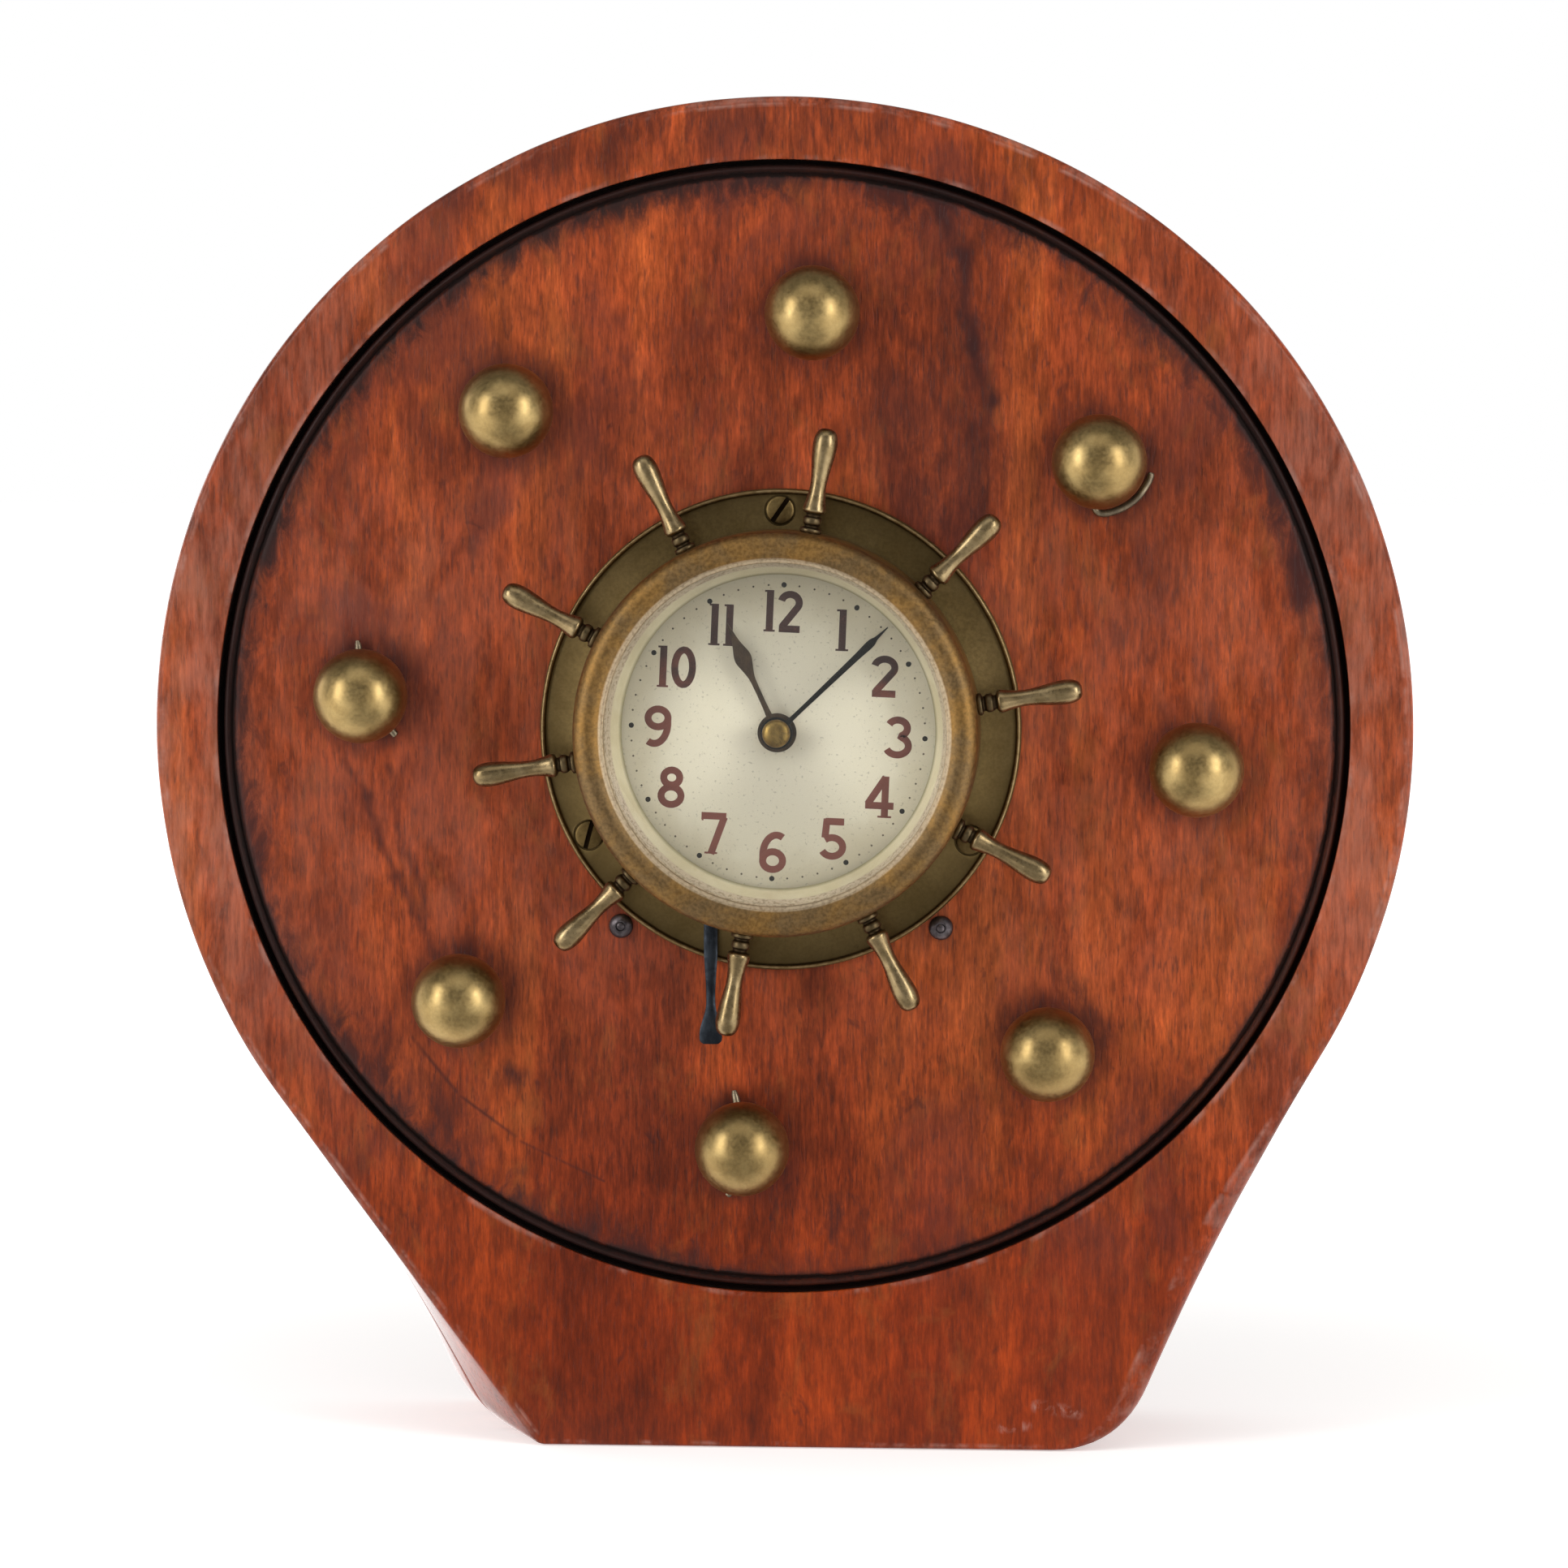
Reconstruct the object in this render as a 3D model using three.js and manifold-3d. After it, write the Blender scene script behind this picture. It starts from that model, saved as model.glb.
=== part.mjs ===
// A table clock made from the sawn hub of a laminated wooden propeller.
// Millimetres, +Z up, front towards -Y, standing on z = 0.

import * as THREE from 'three';
import { mergeVertices } from 'three/addons/utils/BufferGeometryUtils.js';
import Module from 'manifold-3d';

const wasm = await Module();
wasm.setup();

// Fits
const FIT = 0.3;              // running and slip clearance
const SEAT = 0.1;             // gap left between seated faces
const BORE_CLEARANCE = 1;     // round the clock case in the hub's bore
const CUT_PAST = 1;           // how far a cutter runs past a face
const RIVET_DEPTH = 1;        // root of a stud or pillar inside its plate

// Propeller hub: glued boards, with the stub of one blade as the foot
const HUB_RADIUS = 127;
const HUB_AXIS_HEIGHT = 146;
const BOARD_COUNT = 3;
const BOARD_THICKNESS = 19;
const ARRIS_BEVEL = 1.6;
const STRAIGHT_FOOT = 49.3;      // half width of the foot on its straight flank
const HOLLOW_FOOT = 69;          // half width of the foot on its hollow flank
const HOLLOW_START_ANGLE = 30.5; // degrees below the hub's horizontal
const KNEE_SHARE = 0.552;        // of the flank's height, where the hollow turns
const HOLLOW_CORNER = 14;        // run of the rounded foot corner
const STRAIGHT_CORNER = 1.5;
const RECESS_DEPTH = 1;
const RECESS_MARGIN = 12;        // raised edge left round the recess
const GROOVE_WIDTH = 4.2;
const GROOVE_DEPTH = 3.6;

// Ball knobs in the old bolt holes
const BALL_COUNT = 8;
const BALL_CIRCLE = 84;
const BALL_TURN = 4.8;       // degrees clockwise from the top
const BALL_RADIUS = 9.3;
const BALL_STANDOFF = 12;    // ball centre in front of the recess face
const BALL_NECK_RADIUS = 5;
const BALL_SPIGOT_RADIUS = 6;
const BALL_SPIGOT_LENGTH = 24;

// Clock case and its mounting flange
const CASE_RADIUS = 36;
const CASE_WALL = 1.2;
const CASE_DEPTH = 34;
const CASE_LEDGE_WIDTH = 1.6;
const CASE_LEDGE_HEIGHT = 2.6;
const BACK_COVER_THICKNESS = 1.1;
const BACK_COVER_SPIGOT = 2.2;
const FLANGE_WIDTH = 12.2;
const FLANGE_INNER_HEIGHT = 3.3;
const FLANGE_EDGE_HEIGHT = 1.6;
const FLANGE_LIP_WIDTH = 1.1;
const FLANGE_LIP_RISE = 0.8;
const FLANGE_SCREW_INSET = 4.3;
const FLANGE_SCREW_TURNS = [0, 120, 241];  // degrees clockwise from the top
const SCREW_HEAD_RADIUS = 2.9;
const SCREW_HEAD_HEIGHT = 1.5;
const SCREW_HEAD_SINK = 1;
const SCREW_SLOT_WIDTH = 0.7;
const SCREW_SHANK_RADIUS = 1.5;
const SCREW_LENGTH = 12;
const REST_PIN_GAP = 0.4;                  // between a pin's head and the flange
const REST_PIN_TURNS = [141, 219];         // degrees clockwise from the top
const REST_PIN_HEAD_RADIUS = 2.5;
const REST_PIN_HEAD_HEIGHT = 2.2;
const REST_PIN_RADIUS = 1.1;
const REST_PIN_LENGTH = 10;

// Winding rim with ten handles, its glass and sight ring
const RIM_OVERHANG = 4.5;     // beyond the case
const RIM_WALL = 1.4;
const RIM_HEIGHT = 15.3;
const RIM_EDGE_ROUND = 2.6;
const RIM_BAND_WIDTH = 5.7;
const RIM_INNER_DROP = 1;
const RIM_LIP_WIDTH = 0.6;
const GLASS_LAP = 0.8;
const GLASS_SET_BACK = 2.2;
const GLASS_EDGE_THICKNESS = 1.2;
const GLASS_DOME = 0.4;
const SIGHT_WIDTH = 3;
const SIGHT_GAP = 1.2;        // above the dial
const HANDLE_COUNT = 10;
const HANDLE_TURN = 9.6;
const HANDLE_RISE = 8.3;      // above the rear of the rim
const HANDLE_LENGTH = 21;
const HANDLE_COLLAR_RADIUS = 2.2;
const HANDLE_GROOVE_RADIUS = 1.7;
const HANDLE_WAIST_RADIUS = 1.6;
const HANDLE_BULB_RADIUS = 2.45;
const TENON_RADIUS = 1.1;
const TENON_LENGTH = 2.8;

// Dial, hands and the lever below the rim
const DIAL_PLATE_CLEARANCE = 0.5;   // inside the rim
const DIAL_PLATE_THICKNESS = 0.9;
const DIAL_LAP = 2.2;               // under the sight ring
const DIAL_THICKNESS = 0.6;
const DIAL_FOOT_RADIUS = 1.2;
const DIAL_FOOT_INSET = 2.2;
const DIAL_FOOT_TURNS = [0, 125, 270];
const HAND_THICKNESS = 0.5;
const HAND_GAP = 1.2;               // between the two hands
const HAND_POINT = 0.3;
const HOUR_HAND_GAP = 2.4;          // above the dial
const HOUR_HAND_LENGTH = 24;
const HOUR_HAND_HUB = 3.9;
const HOUR_HAND_STEM = 1.2;
const HOUR_HAND_SPADE = 4.2;
const HOUR_HAND_TURN = -24.6;
const MINUTE_HAND_GAP = 0.6;        // inside the sight ring
const MINUTE_HAND_HUB = 3.2;
const MINUTE_HAND_STEM = 1.2;
const MINUTE_HAND_BLADE = 1.8;
const MINUTE_HAND_TURN = 46.3;
const CAP_RADIUS = 2.8;
const CAP_HEIGHT = 1.8;
const LEVER_OFFSET = 13.9;          // left of the axis
const LEVER_PIVOT_INSET = 5.3;      // inside the case wall
const LEVER_LENGTH = 37.4;
const LEVER_THICKNESS = 0.7;
const LEVER_EYE_RADIUS = 3;
const LEVER_WAIST = 1.8;
const LEVER_ROOT_WIDTH = 2.7;
const LEVER_END_WIDTH = 4.6;
const LEVER_CORNER = 1;
const LEVER_SCREW_RADIUS = 1.1;
const LEVER_SCREW_HEAD_RADIUS = 2.1;
const LEVER_SCREW_HEAD_HEIGHT = 0.9;

// Movement plates
const PLATE_THICKNESS = 1.5;
const FRONT_PLATE_LEVEL = 0.9;
const PLATE_SPACING = 17.9;
const BACK_PLATE_CLEARANCE = 2.8;
const PILLAR_RADIUS = 2;
const PILLAR_INSET = 2.5;
const PILLAR_TURNS = [95, 205, 320];
const PIVOT_RADIUS = 0.7;
const ARBOR_RADIUS = 0.9;
const STUD_RADIUS = 1;

// Winding work: teeth inside the rim, an idler and the barrel arbor
const WIND_RING_TEETH = 48;
const WIND_IDLER_TEETH = 8;
const WIND_WHEEL_TEETH = 12;
const WIND_DIRECTION = 60;       // degrees anticlockwise from the right
const WIND_GEAR_HEIGHT = 1.5;
const RATCHET_TEETH = 16;
const RATCHET_RADIUS = 6;
const RATCHET_TOOTH = 0.9;
const RATCHET_RAKE = 2;
const RATCHET_HEIGHT = 1.4;
const CLICK_DIRECTION = 100;
const CLICK_DISTANCE = 10;
const CLICK_WIDTH = 2;
const CLICK_POINT = 0.1;
const CLICK_NOSE_ANGLE = 40;
const CLICK_CLEARANCE = 0.3;

// Mainspring barrel and going train, with each level above the back plate
const BARREL_TEETH = 48;
const CENTRE_PINION_LEAVES = 8;
const BARREL_RISE = 2;
const BARREL_RIM_HEIGHT = 1.6;
const BARREL_HEIGHT = 10.5;
const BARREL_DRUM_RADIUS = 12.2;
const BARREL_WALL = 0.8;
const BARREL_ARBOR_RADIUS = 1.5;
const MAINSPRING_TURNS = 4;
const MAINSPRING_THICKNESS = 0.6;
const MAINSPRING_HEIGHT = 7.4;
const TRAIN_LEAVES = 6;
const CENTRE_TEETH = 48;
const CENTRE_MODULE = 0.4;
const CENTRE_RISE = 13.8;
const THIRD_TEETH = 42;
const THIRD_MODULE = 0.38;
const THIRD_DIRECTION = 215;
const THIRD_RISE = 10;
const FOURTH_TEETH = 36;
const FOURTH_MODULE = 0.36;
const FOURTH_DIRECTION = 300;
const FOURTH_RISE = 6;
const ESCAPE_TEETH = 15;
const ESCAPE_RADIUS = 4.6;
const ESCAPE_TOOTH = 1.1;
const ESCAPE_BACK_ANGLE = 8;
const ESCAPE_FACE_ANGLE = 3;
const ESCAPE_DIRECTION = 15;
const ESCAPE_RISE = 2.6;
const WHEEL_THICKNESS = 0.9;
const PALLET_DISTANCE = 7.4;
const PALLET_TIP_ANGLE = 40;
const PALLET_TIP_GAP = 0.6;
const PALLET_ARM_WIDTH = 0.9;
const PALLET_FORK_REACH = 5.2;
const BALANCE_DISTANCE = 8.2;
const BALANCE_RADIUS = 7.5;
const BALANCE_RIM_WIDTH = 1.2;
const BALANCE_RISE = 7.6;
const BALANCE_THICKNESS = 1.3;
const ROLLER_RADIUS = 2.4;
const HAIRSPRING_TURNS = 3;
const HAIRSPRING_INNER = 1.6;
const HAIRSPRING_OUTER = 5.4;
const HAIRSPRING_WIDTH = 0.35;
const HAIRSPRING_RISE = 10.4;

// Motion work behind the dial
const CANNON_LEAVES = 8;
const MINUTE_WHEEL_TEETH = 24;
const MINUTE_PINION_LEAVES = 8;
const HOUR_WHEEL_TEETH = 32;
const MOTION_DISTANCE = 11;
const MOTION_DIRECTION = 180;
const MOTION_HEIGHT = 0.7;
const CANNON_WALL = 0.7;
const HOUR_PIPE_WALL = 0.4;

// Gear tooth form, in shares of the module or of the tooth pitch
const TOOTH_ADDENDUM = 0.75;
const TOOTH_DEDENDUM = 1;
const TOOTH_ROOT_SHARE = 1;
const TOOTH_TIP_SHARE = 0;
const LEAF_ROOT_SHARE = 0.46;
const LEAF_TIP_SHARE = 0.16;
const WIND_ADDENDUM = 0.52;
const WIND_DEDENDUM = 0.8;
const MESH_OVERLAP = 0.2;     // of a pinion past each face of its wheel

// Facets
const LARGE_FACETS = 32;
const CASE_FACETS = 26;
const BARREL_FACETS = 18;
const KNOB_FACETS = 9;
const HANDLE_FACETS = 7;
const SMALL_FACETS = 8;
const BORE_FACETS = 6;
const FLANK_STEPS = 6;
const CORNER_STEPS = 3;

// Widths that follow from the sizes above
const radians = THREE.MathUtils.degToRad;
const woodThickness = BOARD_COUNT * BOARD_THICKNESS;
const recessRadius = HUB_RADIUS - RECESS_MARGIN;
const caseInner = CASE_RADIUS - CASE_WALL;
const flangeInner = CASE_RADIUS + FIT;
const flangeRadius = flangeInner + FLANGE_WIDTH;
const flangeScrewCircle = flangeRadius - FLANGE_SCREW_INSET;
const restPinCircle = flangeRadius + REST_PIN_GAP + REST_PIN_HEAD_RADIUS;
const rimRadius = CASE_RADIUS + RIM_OVERHANG;
const rimInner = rimRadius - RIM_WALL;
const rimBandInner = rimRadius - RIM_BAND_WIDTH;
const rimOpening = rimBandInner - RIM_LIP_WIDTH;
const glassRadius = rimOpening + GLASS_LAP;
const glassSeat = glassRadius + FIT / 2;
const sightRadius = rimOpening - SIGHT_WIDTH;
const dialRadius = sightRadius + DIAL_LAP;
const dialPlateRadius = rimInner - DIAL_PLATE_CLEARANCE;
const dialFootCircle = caseInner - DIAL_FOOT_INSET;
const minuteHandLength = sightRadius - MINUTE_HAND_GAP;
const backPlateRadius = caseInner - BACK_PLATE_CLEARANCE;
const pillarCircle = backPlateRadius - PILLAR_INSET;
const cannonBore = ARBOR_RADIUS + FIT;
const cannonPipe = cannonBore + CANNON_WALL;
const hourBore = cannonPipe + FIT;
const hourPipe = hourBore + HOUR_PIPE_WALL;
const dialHole = hourPipe + FIT;

// Levels in front of the recess face, from the plates out to the glass
const frontPlateTop = FRONT_PLATE_LEVEL + PLATE_THICKNESS;
const backPlateFront = FRONT_PLATE_LEVEL - PLATE_SPACING;
const backPlateRear = backPlateFront - PLATE_THICKNESS;
const caseTop = FLANGE_INNER_HEIGHT + SEAT;
const ledgeTop = FRONT_PLATE_LEVEL - SEAT;
const coverTop = -CASE_DEPTH - SEAT;
const ratchetLevel = frontPlateTop + FIT;
const motionLower = frontPlateTop + FIT;
const motionUpper = motionLower + MOTION_HEIGHT + FIT;
const leverLevel = caseTop + FIT;
const leverTop = leverLevel + LEVER_THICKNESS;
const rimRear = Math.max(leverTop, motionUpper + MOTION_HEIGHT, ratchetLevel + RATCHET_HEIGHT) + FIT;
const gearTop = rimRear + WIND_GEAR_HEIGHT;
const dialPlateLevel = gearTop + FIT;
const dialBottom = dialPlateLevel + DIAL_PLATE_THICKNESS + SEAT;
const dialTop = dialBottom + DIAL_THICKNESS;
const sightBottom = dialTop + SIGHT_GAP;
const rimShoulder = sightBottom - FIT;
const hourHandLevel = dialTop + HOUR_HAND_GAP;
const minuteHandLevel = hourHandLevel + HAND_THICKNESS + HAND_GAP;
const pipeTop = minuteHandLevel + HAND_THICKNESS + SEAT;
const capLevel = pipeTop + SEAT;
const rimFront = rimRear + RIM_HEIGHT;
const glassFront = rimFront - GLASS_SET_BACK;
const glassBottom = glassFront - GLASS_EDGE_THICKNESS - GLASS_DOME;
const handleLevel = rimRear + HANDLE_RISE;

// Levels of the train, from the back plate forward
const barrelLevel = backPlateFront + BARREL_RISE;
const drumBottom = barrelLevel + BARREL_RIM_HEIGHT;
const drumTop = barrelLevel + BARREL_HEIGHT;
const centreLevel = backPlateFront + CENTRE_RISE;
const thirdLevel = backPlateFront + THIRD_RISE;
const fourthLevel = backPlateFront + FOURTH_RISE;
const escapeLevel = backPlateFront + ESCAPE_RISE;
const balanceLevel = backPlateFront + BALANCE_RISE;
const hairspringLevel = backPlateFront + HAIRSPRING_RISE;

// Materials
function finish(color, roughness, metalness) {
  return new THREE.MeshStandardMaterial({ color, roughness, metalness });
}

const mahogany = finish(0x8a3d22, 0.45, 0);
const gilt = finish(0xb08a4a, 0.3, 1);
const darkBrass = finish(0x6b5a34, 0.45, 1);
const brass = finish(0xc9a24e, 0.25, 1);
const steel = finish(0x8d8f92, 0.3, 1);
const blackSteel = finish(0x2a2724, 0.4, 1);
const blueSteel = finish(0x2b3f74, 0.25, 1);
const glass = finish(0xf2f4f2, 0.05, 0);
glass.transparent = true;
glass.opacity = 0.25;
const silvered = finish(0xe6e0cc, 0.5, 0.1);
const brownHand = finish(0x3b2a1d, 0.4, 0.6);

// Solids: conversion to and from the boolean library
function toSolid(geometry) {
  const bare = geometry.clone();
  bare.deleteAttribute('normal');
  bare.deleteAttribute('uv');
  const merged = mergeVertices(bare, 1e-4);
  const position = merged.getAttribute('position');
  const corner = (i) => new THREE.Vector3().fromBufferAttribute(position, i);
  const triangles = [];
  let volume = 0;
  for (let i = 0; i < merged.index.count; i += 3) {
    const [a, b, c] = [0, 1, 2].map((k) => merged.index.getX(i + k));
    if (a === b || b === c || c === a) {
      continue;
    }
    triangles.push([a, b, c]);
    volume += corner(a).dot(corner(b).cross(corner(c)));
  }
  const outward = volume > 0 ? triangles : triangles.map(([a, b, c]) => [a, c, b]);
  return new wasm.Manifold(new wasm.Mesh({
    numProp: 3,
    vertProperties: new Float32Array(position.array),
    triVerts: new Uint32Array(outward.flat()),
  }));
}

function toGeometry(solid) {
  const mesh = solid.getMesh();
  const geometry = new THREE.BufferGeometry();
  geometry.setAttribute('position', new THREE.BufferAttribute(new Float32Array(mesh.vertProperties), 3));
  geometry.setIndex(new THREE.BufferAttribute(new Uint32Array(mesh.triVerts), 1));
  geometry.computeVertexNormals();
  return geometry;
}

function union(...solids) {
  return solids.reduce((joined, next) => joined.add(next));
}

function cut(solid, ...tools) {
  return tools.reduce((left, tool) => left.subtract(tool), solid);
}

// Basic forms in the clock's frame: x right, y up, z towards the viewer
function revolve(profile, segments) {
  const points = profile.map(([radius, level]) => new THREE.Vector2(radius, level));
  return new THREE.LatheGeometry(points, segments).rotateX(Math.PI / 2);
}

function ring(inner, outer, bottom, top, segments) {
  return revolve([[inner, bottom], [outer, bottom], [outer, top], [inner, top], [inner, bottom]], segments);
}

function rod(radius, bottom, top, sides, x = 0, y = 0) {
  return revolve([[0, bottom], [radius, bottom], [radius, top], [0, top]], sides).translate(x, y, 0);
}

function plate(shape, bottom, thickness, curveSegments = SMALL_FACETS) {
  const options = { depth: thickness, bevelEnabled: false, curveSegments };
  return new THREE.ExtrudeGeometry(shape, options).translate(0, 0, bottom);
}

function polygon(points) {
  return new THREE.Shape(points.map(([x, y]) => new THREE.Vector2(x, y)));
}

function roundHole(radius, x = 0, y = 0) {
  return new THREE.Path().absarc(x, y, radius, 0, Math.PI * 2, true);
}

// A place on a circle, given clockwise from the top or anticlockwise from the right
function clockPlace(distance, turn) {
  return [distance * Math.sin(radians(turn)), distance * Math.cos(radians(turn))];
}

function polarPlace(distance, direction, from = [0, 0]) {
  const angle = radians(direction);
  return [from[0] + distance * Math.cos(angle), from[1] + distance * Math.sin(angle)];
}

// Gears: outlines with flat roots, and the phase at which two of them mesh
function toothOutline(teeth, rootRadius, tipRadius, rootShare, tipShare, phase) {
  const pitch = Math.PI * 2 / teeth;
  const points = [];
  for (let i = 0; i < teeth; i += 1) {
    const middle = phase + i * pitch;
    points.push([rootRadius, middle - rootShare * pitch / 2]);
    points.push([tipRadius, middle - tipShare * pitch / 2]);
    if (tipShare > 0) {
      points.push([tipRadius, middle + tipShare * pitch / 2]);
    }
    if (rootShare < 1) {
      points.push([rootRadius, middle + rootShare * pitch / 2]);
    }
  }
  return points.map(([radius, angle]) => [radius * Math.cos(angle), radius * Math.sin(angle)]);
}

function wheelOutline(teeth, module, phase) {
  const pitchRadius = teeth * module / 2;
  const root = pitchRadius - TOOTH_DEDENDUM * module;
  const tip = pitchRadius + TOOTH_ADDENDUM * module;
  return toothOutline(teeth, root, tip, TOOTH_ROOT_SHARE, TOOTH_TIP_SHARE, phase);
}

function pinionOutline(leaves, module, phase) {
  const pitchRadius = leaves * module / 2;
  const root = pitchRadius - TOOTH_DEDENDUM * module;
  const tip = pitchRadius + TOOTH_ADDENDUM * module;
  return toothOutline(leaves, root, tip, LEAF_ROOT_SHARE, LEAF_TIP_SHARE, phase);
}

function windOutline(teeth, phase) {
  const pitchRadius = teeth * windModule / 2;
  const root = pitchRadius - WIND_DEDENDUM * windModule;
  const tip = pitchRadius + WIND_ADDENDUM * windModule;
  return toothOutline(teeth, root, tip, LEAF_ROOT_SHARE, LEAF_TIP_SHARE, phase);
}

// Phase of gear B so that its space meets gear A's tooth; direction runs from A to B
function meshPhase(direction, phaseA, teethA, teethB) {
  const angle = radians(direction);
  const offset = (angle - phaseA) / (Math.PI * 2 / teethA);
  return angle + Math.PI - (0.5 - offset) * (Math.PI * 2 / teethB);
}

function insideMeshPhase(direction, ringPhase, ringTeeth, teeth) {
  const angle = radians(direction);
  const offset = (angle - ringPhase) / (Math.PI * 2 / ringTeeth);
  return angle + (0.5 - offset) * (Math.PI * 2 / teeth);
}

const windRingPitch = rimInner / (1 + WIND_DEDENDUM * 2 / WIND_RING_TEETH);
const windModule = windRingPitch * 2 / WIND_RING_TEETH;
const idlerDistance = (WIND_RING_TEETH - WIND_IDLER_TEETH) * windModule / 2;
const barrelDistance = idlerDistance - (WIND_IDLER_TEETH + WIND_WHEEL_TEETH) * windModule / 2;
const barrelModule = barrelDistance * 2 / (BARREL_TEETH + CENTRE_PINION_LEAVES);
const cannonModule = MOTION_DISTANCE * 2 / (CANNON_LEAVES + MINUTE_WHEEL_TEETH);
const hourModule = MOTION_DISTANCE * 2 / (MINUTE_PINION_LEAVES + HOUR_WHEEL_TEETH);
const idlerPlace = polarPlace(idlerDistance, WIND_DIRECTION);
const barrelPlace = polarPlace(barrelDistance, WIND_DIRECTION);
const clickPlace = polarPlace(CLICK_DISTANCE, CLICK_DIRECTION, barrelPlace);
const minutePlace = polarPlace(MOTION_DISTANCE, MOTION_DIRECTION);
const thirdDistance = (CENTRE_TEETH + TRAIN_LEAVES) * CENTRE_MODULE / 2;
const fourthDistance = (THIRD_TEETH + TRAIN_LEAVES) * THIRD_MODULE / 2;
const escapeDistance = (FOURTH_TEETH + TRAIN_LEAVES) * FOURTH_MODULE / 2;
const thirdPlace = polarPlace(thirdDistance, THIRD_DIRECTION);
const fourthPlace = polarPlace(fourthDistance, FOURTH_DIRECTION, thirdPlace);
const escapePlace = polarPlace(escapeDistance, ESCAPE_DIRECTION, fourthPlace);
const palletPlace = polarPlace(PALLET_DISTANCE, ESCAPE_DIRECTION, escapePlace);
const balancePlace = polarPlace(BALANCE_DISTANCE, ESCAPE_DIRECTION, palletPlace);
const leverPivot = caseInner - LEVER_PIVOT_INSET;
const leverPlace = [-LEVER_OFFSET, -Math.sqrt(leverPivot ** 2 - LEVER_OFFSET ** 2)];
const ringPhase = 0;

// Scene graph: the clock's frame stands on the hub's axis at the recess face
const frontReach = Math.max(BALL_STANDOFF + BALL_RADIUS, rimFront);
const rearReach = woodThickness - RECESS_DEPTH;
const clockGroup = new THREE.Group();
clockGroup.position.set(0, (frontReach - rearReach) / 2, HUB_AXIS_HEIGHT);
clockGroup.rotation.x = Math.PI / 2;

function addNode(name, solid, material, place = [0, 0], turn = 0) {
  const mesh = new THREE.Mesh(toGeometry(solid), material);
  mesh.name = name;
  mesh.position.set(place[0], place[1], 0);
  mesh.rotation.z = -radians(turn);
  clockGroup.add(mesh);
}

// Hub boards: lofts between the outline at the front and its mirror at the rear
function flank(hollowShare) {
  const foot = THREE.MathUtils.lerp(STRAIGHT_FOOT, HOLLOW_FOOT, hollowShare);
  const corner = THREE.MathUtils.lerp(STRAIGHT_CORNER, HOLLOW_CORNER, hollowShare);
  const reach = Math.hypot(STRAIGHT_FOOT, HUB_AXIS_HEIGHT);
  const tangent = Math.atan2(HUB_AXIS_HEIGHT, STRAIGHT_FOOT) - Math.acos(HUB_RADIUS / reach);
  const start = THREE.MathUtils.lerp(tangent, radians(HOLLOW_START_ANGLE), hollowShare);
  const leave = new THREE.Vector2(HUB_RADIUS * Math.cos(start), -HUB_RADIUS * Math.sin(start));
  const fall = (leave.y + HUB_AXIS_HEIGHT) * (1 - KNEE_SHARE) / Math.cos(start);
  const knee = new THREE.Vector2(leave.x - fall * Math.sin(start), leave.y - fall * Math.cos(start));
  const toe = new THREE.Vector2(foot, -HUB_AXIS_HEIGHT);
  const rise = toe.clone().add(knee.clone().sub(toe).setLength(corner));
  const inward = new THREE.Vector2(foot - corner, -HUB_AXIS_HEIGHT);
  const side = new THREE.QuadraticBezierCurve(leave, knee, rise).getPoints(FLANK_STEPS);
  const round = new THREE.QuadraticBezierCurve(rise, toe, inward).getPoints(CORNER_STEPS);
  return { start, points: [...side, ...round.slice(1)] };
}

function hubOutline(depthShare) {
  const right = flank(1 - depthShare ** 2);
  const left = flank(1 - (1 - depthShare) ** 2);
  const arcSteps = LARGE_FACETS;
  const arc = [];
  for (let i = 1; i < arcSteps; i += 1) {
    const angle = -right.start + (Math.PI + right.start + left.start) * i / arcSteps;
    arc.push(new THREE.Vector2(HUB_RADIUS * Math.cos(angle), HUB_RADIUS * Math.sin(angle)));
  }
  const leftPoints = left.points.map((point) => new THREE.Vector2(-point.x, point.y));
  return [...right.points.slice().reverse(), ...arc, ...leftPoints];
}

function insetOutline(outline, distance) {
  return outline.map((point, i) => {
    const before = outline[(i + outline.length - 1) % outline.length];
    const after = outline[(i + 1) % outline.length];
    const along = after.clone().sub(before).normalize();
    return new THREE.Vector2(point.x - along.y * distance, point.y + along.x * distance);
  });
}

function loft(levels) {
  const count = levels[0].outline.length;
  const positions = levels.flatMap(({ outline, z }) => outline.flatMap((point) => [point.x, point.y, z]));
  const index = [];
  for (let k = 0; k + 1 < levels.length; k += 1) {
    for (let i = 0; i < count; i += 1) {
      const a = k * count + i;
      const b = k * count + (i + 1) % count;
      index.push(a, b, a + count, b, b + count, a + count);
    }
  }
  const last = (levels.length - 1) * count;
  THREE.ShapeUtils.triangulateShape(levels[0].outline, []).forEach(([a, b, c]) => index.push(a, c, b));
  THREE.ShapeUtils.triangulateShape(levels.at(-1).outline, []).forEach(([a, b, c]) => {
    index.push(last + a, last + b, last + c);
  });
  const geometry = new THREE.BufferGeometry();
  geometry.setAttribute('position', new THREE.Float32BufferAttribute(positions, 3));
  geometry.setIndex(index);
  return geometry;
}

function hubLevel(depth, inset) {
  const outline = hubOutline(depth / woodThickness);
  return { outline: inset > 0 ? insetOutline(outline, inset) : outline, z: RECESS_DEPTH - depth };
}

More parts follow.
